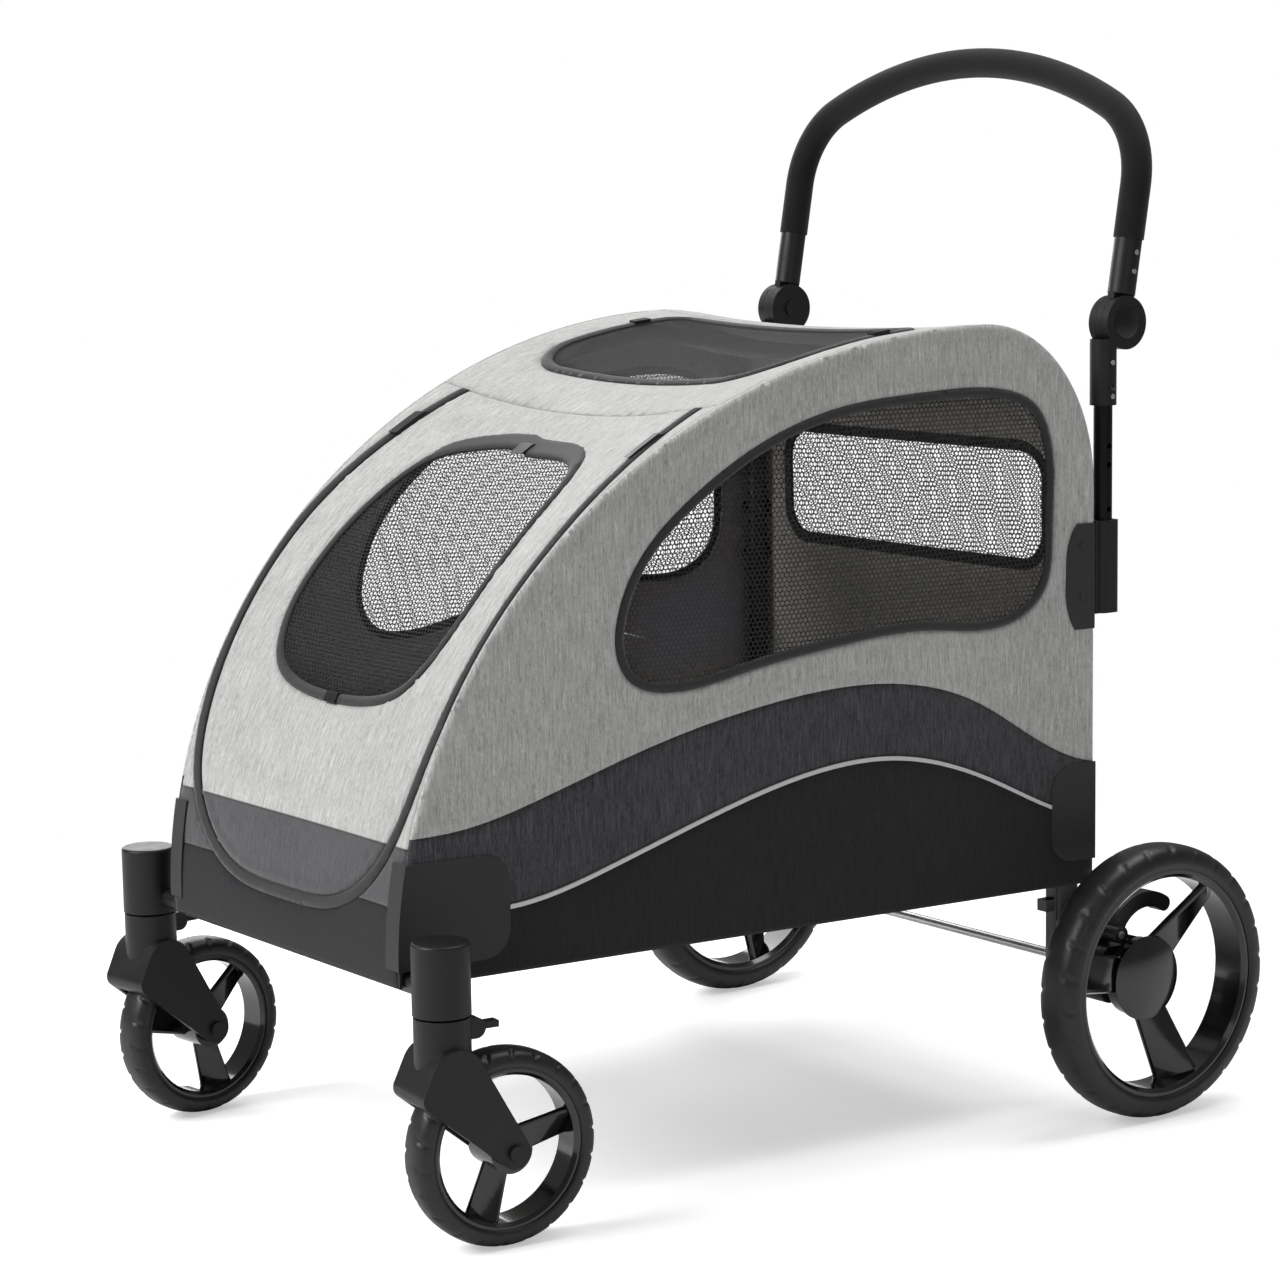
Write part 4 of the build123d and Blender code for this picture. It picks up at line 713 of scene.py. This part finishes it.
def with_window(source, outside):
    """The back cloth with its band of mesh, a rounded slot bound in black tape."""
    material = source.copy()
    material.name = source.name + "_with_window"
    tree = material.node_tree
    shader = tree.nodes["Principled BSDF"]
    cloth = shader.inputs["Base Color"].links[0].from_socket
    back = PROFILE[-BACK_ROWS:]
    middle = float(np.interp(-WINDOW_Z, -back[:, 1], back[:, 5]))
    half_length = 0.205
    half_height = 0.056
    corner = 0.030
    uv = cloth_place(tree)
    split = new_node(tree, "ShaderNodeSeparateXYZ", {0: uv})
    across = maths(tree, "SUBTRACT", maths(tree, "ABSOLUTE", split.outputs[0]), half_length - corner)
    along = maths(tree, "ABSOLUTE", maths(tree, "SUBTRACT", split.outputs[1], middle))
    along = maths(tree, "SUBTRACT", along, half_height - corner)
    across = maths(tree, "MAXIMUM", across, 0.0)
    along = maths(tree, "MAXIMUM", along, 0.0)
    edge = maths(tree, "SUBTRACT", flat_length(tree, across, along), corner)
    opened = ramp(tree, edge, 0.0003, -0.0003)
    trimmed = ramp(tree, edge, WINDOW_TRIM + 0.0005, WINDOW_TRIM)
    threads = mesh_threads(tree, uv, *WINDOW_MESH) if outside else 0.0
    kept = maths(tree, "MULTIPLY", opened, maths(tree, "SUBTRACT", 1.0, threads))
    tree.links.new(maths(tree, "SUBTRACT", 1.0, kept, True), shader.inputs["Alpha"])
    bound = mix_colour(tree, trimmed, cloth, (0.008, 0.008, 0.009, 1))
    tree.links.new(bound, shader.inputs["Base Color"])
    return material


SHEET = Wrap()
SIDE = {"left": Side(1), "right": Side(-1)}


def banded_material(level):
    """The front cloth: light melange above the cross seam, charcoal melange below it."""
    material = LIGHT.copy()
    material.name = "front_melange"
    tree = material.node_tree
    shader = tree.nodes["Principled BSDF"]
    light_mix = shader.inputs["Base Color"].links[0].from_node
    tone = light_mix.inputs[0].links[0].from_socket
    dark = mix_colour(tree, tone, (0.012, 0.012, 0.014, 1), (0.085, 0.085, 0.092, 1))
    uv = cloth_place(tree)
    height = new_node(tree, "ShaderNodeSeparateXYZ", {0: uv}).outputs[1]
    above = ramp(tree, height, level - 0.0006, level + 0.0006)
    from_seam = maths(tree, "ABSOLUTE", maths(tree, "SUBTRACT", height, level))
    seam = ramp(tree, from_seam, 0.0004, 0.0018)
    both = mix_colour(tree, above, dark, light_mix.outputs[2])
    both = mix_colour(tree, seam, (0.02, 0.02, 0.02, 1), both)
    tree.links.new(both, shader.inputs["Base Color"])
    return material


BAND_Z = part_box("side_panels")[0][2]
front_rows = PROFILE[:FRONT_ROWS]
FRONT = banded_material(float(np.interp(BAND_Z, front_rows[:, 1], front_rows[:, 5])))


def sleeved(fold):
    """Adds a padded tube sleeve along the edges, with a stitched seam inside it."""

    def lift(place, flat, distance):
        pad = 0.0012 * np.sin(np.pi * np.clip(distance / 0.011, 0, 1))
        seam = 0.0011 * np.exp(-(((distance - 0.0125) / 0.0022) ** 2))
        return fold(place, flat, distance) + pad - seam

    return lift


def creases(scale, depth, stretch=(1, 1, 1)):
    """Slow creases of sewn cloth, fading towards the seams."""

    def lift(place, flat, distance):
        out = np.empty(len(place))
        for i, p in enumerate(place):
            q = Vector((p[0] * stretch[0], p[1] * stretch[1], p[2] * stretch[2])) * scale
            out[i] = noise.noise(q) + 0.5 * noise.noise(q * 2.3)
        return out * depth * np.minimum(distance / 0.03, 1.0)

    return lift


BAND_WIDTH = 0.1
for name, surface in SIDE.items():
    folds = creases(9.0, 0.0011, (1, 1, 0.6))
    panel = sewn_panel(
        f"side_panel_{name}", "side_panels", surface, (LIGHT, LINER), step=0.005, lift=sleeved(folds)
    )
    sew(panel, "side_panels", "base")
    band = sewn_panel(f"side_band_{name}", "side_bands", surface, (CHARCOAL, LINER), lift=folds)
    sew(band, "side_bands", "base", strip=BAND_WIDTH)
    lower = sewn_panel(
        f"lower_side_{name}", "lower_side_panels", surface, (BLACK, LINER), lift=folds
    )
    sew(lower, "lower_side_panels", "base", folds=False)

roof_folds = creases(7.0, 0.0016, (0.8, 1.6, 1.6))
roof = sewn_panel("roof", "roof_cloth", SHEET, (LIGHT, LINER), lift=roof_folds)
sew(roof, "roof_cloth", "base")
for island, place in enumerate(("upper_left", "lower_left", "upper_right", "lower_right")):
    cheek = sewn_panel(
        f"front_cheek_{place}", "front_surround", SHEET, (FRONT, LINER),
        step=0.006, lift=roof_folds, island=island,
    )
    sew(cheek, "front_surround", "base")
for island, place in enumerate(("rear", "front")):
    end = sewn_panel(
        f"lower_end_{place}", "lower_end_panels", SHEET, (BLACK, LINER), lift=roof_folds, island=island
    )
    sew(end, "lower_end_panels", "base", folds=False)
back_pair = (with_window(LIGHT, True), with_window(LINER, False))
back = sewn_panel("back_cloth", "rear_cloth", SHEET, back_pair, step=0.011, lift=roof_folds)
sew(back, "rear_cloth", "base")
door = sewn_panel(
    "door_panel", "door_cloth", SHEET, (FRONT, LINER), step=0.006, lift=sleeved(roof_folds), puff=0.002
)
sew(door, "door_cloth", "front_door")


# ------------------------------------------------------------------ mesh windows
# Black knitted mesh with round holes, bound with folded tape.
def mesh_material(name, pitch, low, high):
    material, tree, shader = new_material(name)
    uv = cloth_place(tree)
    solid = mesh_threads(tree, uv, pitch, low, high)
    shader.inputs["Base Color"].default_value = (0.009, 0.009, 0.010, 1)
    shader.inputs["Roughness"].default_value = 0.75
    tree.links.new(solid, shader.inputs["Alpha"])
    return material


MESH = mesh_material("window_mesh", *WINDOW_MESH)
OPEN = new_material("mesh_underside")[0]
OPEN.node_tree.nodes["Principled BSDF"].inputs["Alpha"].default_value = 0.0
FINE_MESH = mesh_material("roof_mesh", *ROOF_MESH)
NET_CUT = dict(step=0.02, puff=0.0, thick=0.0012)
for name, surface in SIDE.items():
    window = sewn_panel(f"side_mesh_{name}", "mesh_windows", surface, (MESH, OPEN), **NET_CUT)
    sew(window, "mesh_windows", "base")


class RoofOnly(Wrap):
    """The wrap, without the windows of the two sides."""

    half_span = 0.22

    def outward(self, point, normal):
        return abs(point[0]) < self.half_span and super().outward(point, normal)


roof_mesh = sewn_panel("roof_mesh", "mesh_windows", RoofOnly(), (FINE_MESH, OPEN), **NET_CUT)
sew(roof_mesh, "mesh_windows", "base")
door_mesh = sewn_panel("door_window_mesh", "door_mesh", SHEET, (MESH, OPEN), **NET_CUT)
sew(door_mesh, "door_mesh", "front_door")


def tape_material():
    """Ribbed binding tape."""
    material, tree, shader = new_material("binding_tape")
    uv = cloth_place(tree)
    rib = noise_value(tree, stretched(tree, uv, (1400, 1400, 1)), 1.0, 2.0, 0.6)
    colour = mix_colour(tree, rib, (0.003, 0.003, 0.0035, 1), (0.014, 0.014, 0.015, 1))
    tree.links.new(colour, shader.inputs["Base Color"])
    shader.inputs["Roughness"].default_value = 0.7
    shader.inputs["Sheen Weight"].default_value = 0.2
    tree.links.new(bump(tree, rib, 0.4, 0.0004), shader.inputs["Normal"])
    return material


TAPE = tape_material()


def rounded_tape(place, flat, distance):
    return 0.0014 * np.minimum(distance / 0.0035, 1.0)


TAPE_WIDTH = 0.012
TAPE_CUT = dict(step=0.004, puff=0.0006, edge=0.002, lift=rounded_tape, thick=0.0025, raise_by=0.001)
BINDINGS = (
    ("window_binding_left", "window_bindings", SIDE["left"], "base"),
    ("window_binding_right", "window_bindings", SIDE["right"], "base"),
    ("roof_binding", "window_bindings", RoofOnly(), "base"),
    ("door_binding", "door_window_binding", SHEET, "front_door"),
    ("door_zip_tape", "door_zip", SHEET, "base"),
)
for name, node_name, surface, body in BINDINGS:
    binding = sewn_panel(name, node_name, surface, (TAPE,), **TAPE_CUT)
    sew(binding, node_name, body, strip=TAPE_WIDTH)


# ------------------------------------------------------------------ piping, patches, sliders
# Grey reflective piping marks the lower seam; tough black patches guard the four corners.
def piping_material():
    material, tree, shader = new_material("reflective_piping")
    place = object_place(tree)
    grain = noise_value(tree, place, 1500.0, 2.0, 0.5)
    colour = mix_colour(tree, grain, (0.42, 0.43, 0.44, 1), (0.66, 0.67, 0.68, 1))
    tree.links.new(colour, shader.inputs["Base Color"])
    shader.inputs["Roughness"].default_value = 0.35
    shader.inputs["Metallic"].default_value = 0.3
    return material


def ballistic_material():
    """Tight black nylon weave with a faint basket pattern."""
    material, tree, shader = new_material("patch_nylon")
    place = object_place(tree)
    checks = new_node(tree, "ShaderNodeTexChecker", {"Vector": place, "Scale": 900.0}).outputs[1]
    blotch = noise_value(tree, place, 30.0, 4.0, 0.6)
    colour = mix_colour(tree, blotch, (0.003, 0.003, 0.0035, 1), (0.010, 0.010, 0.011, 1))
    tree.links.new(colour, shader.inputs["Base Color"])
    shader.inputs["Roughness"].default_value = 0.62
    shader.inputs["Sheen Weight"].default_value = 0.15
    tree.links.new(bump(tree, checks, 0.15, 0.0003), shader.inputs["Normal"])
    return material


PIPING = piping_material()
PATCH = ballistic_material()
paint(PIPING, "side_piping")
paint(PATCH, "corner_patches", "upright_patches")


def build_sliders(name, node_name, body):
    """Zip sliders with their pulls, in black nylon, on their own copy of the mesh."""
    mesh = cad[node_name].data.copy()
    mesh.transform(cad[node_name].matrix_world)
    mesh.materials.clear()
    mesh.materials.append(NYLON)
    piece = new_piece(name, mesh)
    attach(piece, body)
    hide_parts(node_name)
    sink(piece)


build_sliders("zip_slider_set", "zip_sliders", "base")
build_sliders("window_slider_set", "window_sliders", "front_door")


# ------------------------------------------------------------------ floor cushion
# A quilted pad lies on the floor board inside the cabin, crowned between its welted edges.
def build_cushion():
    low, high = (Vector(p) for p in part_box("floor_cushion"))
    columns = 44
    rows = 60
    depth = high.y - low.y
    mesh = bpy.data.meshes.new("floor_pad")
    bm = bmesh.new()
    uv = bm.loops.layers.uv.new(CLOTH_UV)
    grids = []
    inset = 0.026
    for top in (True, False):
        grid = []
        for j in range(rows + 1):
            t = j / rows
            y = low.y + depth * t
            half = half_width(y) - inset
            round_off = min(t, 1 - t) * depth
            half -= 0.03 * max(0.0, 1 - round_off / 0.03) ** 2
            row = []
            for i in range(columns + 1):
                s = 2 * i / columns - 1
                near = min((1 - abs(s)) * half, round_off)
                dome = 1 - math.exp(-near / 0.018)
                from_seam = (s * 3 - round(s * 3)) * half / 3
                quilt = 1 - 0.25 * math.exp(-((from_seam / 0.008) ** 2)) * (abs(s) < 0.9)
                z = low.z + 0.0005
                if top:
                    z = low.z + 0.010 + (high.z - low.z - 0.010) * dome * quilt
                    z += 0.001 * noise.noise(Vector((s * 4, y * 14, 0)))
                row.append(bm.verts.new((s * half, y, z)))
            grid.append(row)
        grids.append(grid)
    top, bottom = grids
    for j in range(rows):
        for i in range(columns):
            bm.faces.new((top[j][i], top[j][i + 1], top[j + 1][i + 1], top[j + 1][i]))
            bm.faces.new((bottom[j][i], bottom[j + 1][i], bottom[j + 1][i + 1], bottom[j][i + 1]))
    for i in range(columns):
        bm.faces.new((bottom[0][i], bottom[0][i + 1], top[0][i + 1], top[0][i]))
        bm.faces.new((top[rows][i], top[rows][i + 1], bottom[rows][i + 1], bottom[rows][i]))
    for j in range(rows):
        bm.faces.new((bottom[j + 1][0], bottom[j][0], top[j][0], top[j + 1][0]))
        here = bottom[j][columns]
        there = bottom[j + 1][columns]
        bm.faces.new((here, there, top[j + 1][columns], top[j][columns]))
    for face in bm.faces:
        face.smooth = True
        for loop in face.loops:
            loop[uv].uv = (loop.vert.co.x, loop.vert.co.y)
    bm.to_mesh(mesh)
    bm.free()
    pad_cloth = cloth_material("pad_cloth", (0.16, 0.155, 0.15), (0.34, 0.33, 0.32), 0.8, 0.1)
    mesh.materials.append(pad_cloth)
    pad = new_piece("floor_pad", mesh)
    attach(pad, "base")
    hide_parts("floor_cushion")


build_cushion()
BOARD = coated_material("floor_fibreboard", (0.10, 0.09, 0.08), 0.7)
paint(BOARD, "floor_board")


# ------------------------------------------------------------------ foam grip
# Closed-cell foam sleeves the whole loop of the handle.
def foam_material():
    material, tree, shader = new_material("handle_foam")
    place = object_place(tree)
    cells = new_node(tree, "ShaderNodeTexVoronoi", {"Vector": place, "Scale": 900.0}).outputs[0]
    patchy = noise_value(tree, place, 26.0, 4.0, 0.6)
    colour = mix_colour(tree, patchy, (0.002, 0.002, 0.0022, 1), (0.006, 0.006, 0.0065, 1))
    shader.inputs["Specular IOR Level"].default_value = 0.25
    tree.links.new(colour, shader.inputs["Base Color"])
    shader.inputs["Roughness"].default_value = 0.86
    shader.inputs["Sheen Weight"].default_value = 0.12
    tree.links.new(bump(tree, cells, 0.35, 0.0005), shader.inputs["Normal"])
    return material


paint(foam_material(), "foam_grip")


# ------------------------------------------------------------------ studio
# A pale seamless floor, a large soft key from the front left, and a gentle fill.
# Place, size in metres, power in watts and the point that each soft light looks at.
SOFTBOXES = (
    ((-0.6, -3.4, 2.9), 2.0, 165, (0, 0, 0.5)),
    ((3.2, -0.6, 1.6), 1.6, 7, (0, 0, 0.5)),
    ((0.2, 1.2, 3.4), 2.0, 60, (0, 0, 0.6)),
    ((-2.8, 0.6, 1.5), 2.0, 45, (0, 0, 0.5)),
)
FLOOR_HALF = 14.0
FLOOR_GLOW = 0.42
FLOOR_FADE = (0.9, 1.6)
AMBIENT = 0.22


def build_floor():
    mesh = bpy.data.meshes.new("studio_floor")
    signs = ((-1, -1), (1, -1), (1, 1), (-1, 1))
    corners = [(x * FLOOR_HALF, y * FLOOR_HALF, 0) for x, y in signs]
    mesh.from_pydata(corners, [], [(0, 1, 2, 3)])
    floor = new_piece("studio_floor", mesh)
    material, tree, shader = new_material("studio_floor")
    shader.inputs["Base Color"].default_value = (0.9, 0.9, 0.9, 1)
    shader.inputs["Roughness"].default_value = 0.9
    shader.inputs["Emission Color"].default_value = (1, 1, 1, 1)
    path = tree.nodes.new("ShaderNodeLightPath")
    emission = maths(tree, "MULTIPLY", path.outputs["Is Camera Ray"], FLOOR_GLOW)
    tree.links.new(emission, shader.inputs["Emission Strength"])
    place = object_place(tree)
    away = new_node(tree, "ShaderNodeVectorMath", {0: place}, operation="LENGTH").outputs["Value"]
    far = maths(tree, "MULTIPLY", ramp(tree, away, *FLOOR_FADE), path.outputs["Is Camera Ray"])
    glow = new_node(tree, "ShaderNodeEmission", {"Color": (1, 1, 1, 1), "Strength": 1.0})
    blend = tree.nodes.new("ShaderNodeMixShader")
    tree.links.new(far, blend.inputs[0])
    tree.links.new(shader.outputs[0], blend.inputs[1])
    tree.links.new(glow.outputs[0], blend.inputs[2])
    tree.links.new(blend.outputs[0], tree.nodes["Material Output"].inputs["Surface"])
    mesh.materials.append(material)


def build_lights():
    world = bpy.data.worlds.new("studio")
    scene.world = world
    world.use_nodes = True
    tree = world.node_tree
    background = tree.nodes["Background"]
    path = tree.nodes.new("ShaderNodeLightPath")
    seen = maths(tree, "MAXIMUM", path.outputs["Is Camera Ray"], path.outputs["Is Transmission Ray"])
    level = maths(tree, "ADD", maths(tree, "MULTIPLY", seen, 1 - AMBIENT), AMBIENT)
    background.inputs["Color"].default_value = (1, 1, 1, 1)
    tree.links.new(level, background.inputs["Strength"])

    for place, size_m, power, aim in SOFTBOXES:
        light = bpy.data.lights.new("softbox", "AREA")
        light.shape = "SQUARE"
        light.size = size_m
        light.energy = power
        lamp = bpy.data.objects.new("softbox", light)
        lamp.location = place
        lamp.rotation_euler = (Vector(aim) - Vector(place)).to_track_quat("-Z", "Y").to_euler()
        scene.collection.objects.link(lamp)


build_floor()
build_lights()


# ------------------------------------------------------------------ camera
# Eye height, a little above the roof, from the front left.
CAMERA_PLACE = (2.7652, -2.0309, 0.9727)
CAMERA_TURN = (54.12, 8.1, -0.89)
LENS_MM = 95.54


def place_camera():
    camera_data = bpy.data.cameras.new("camera")
    camera_data.sensor_width = 36.0
    camera_data.lens = LENS_MM
    camera = bpy.data.objects.new("camera", camera_data)
    azimuth, elevation, roll = (math.radians(a) for a in CAMERA_TURN)
    level = math.cos(elevation)
    back = Vector((math.sin(azimuth) * level, -math.cos(azimuth) * level, math.sin(elevation)))
    right = Vector((math.cos(azimuth), math.sin(azimuth), 0))
    up = back.cross(right)
    turned = right * math.cos(roll) + up * math.sin(roll)
    up = back.cross(turned)
    basis = Matrix((turned, up, back)).transposed().to_4x4()
    camera.matrix_world = Matrix.Translation(CAMERA_PLACE) @ basis
    scene.collection.objects.link(camera)
    scene.camera = camera


place_camera()
scene.view_settings.view_transform = "Standard"
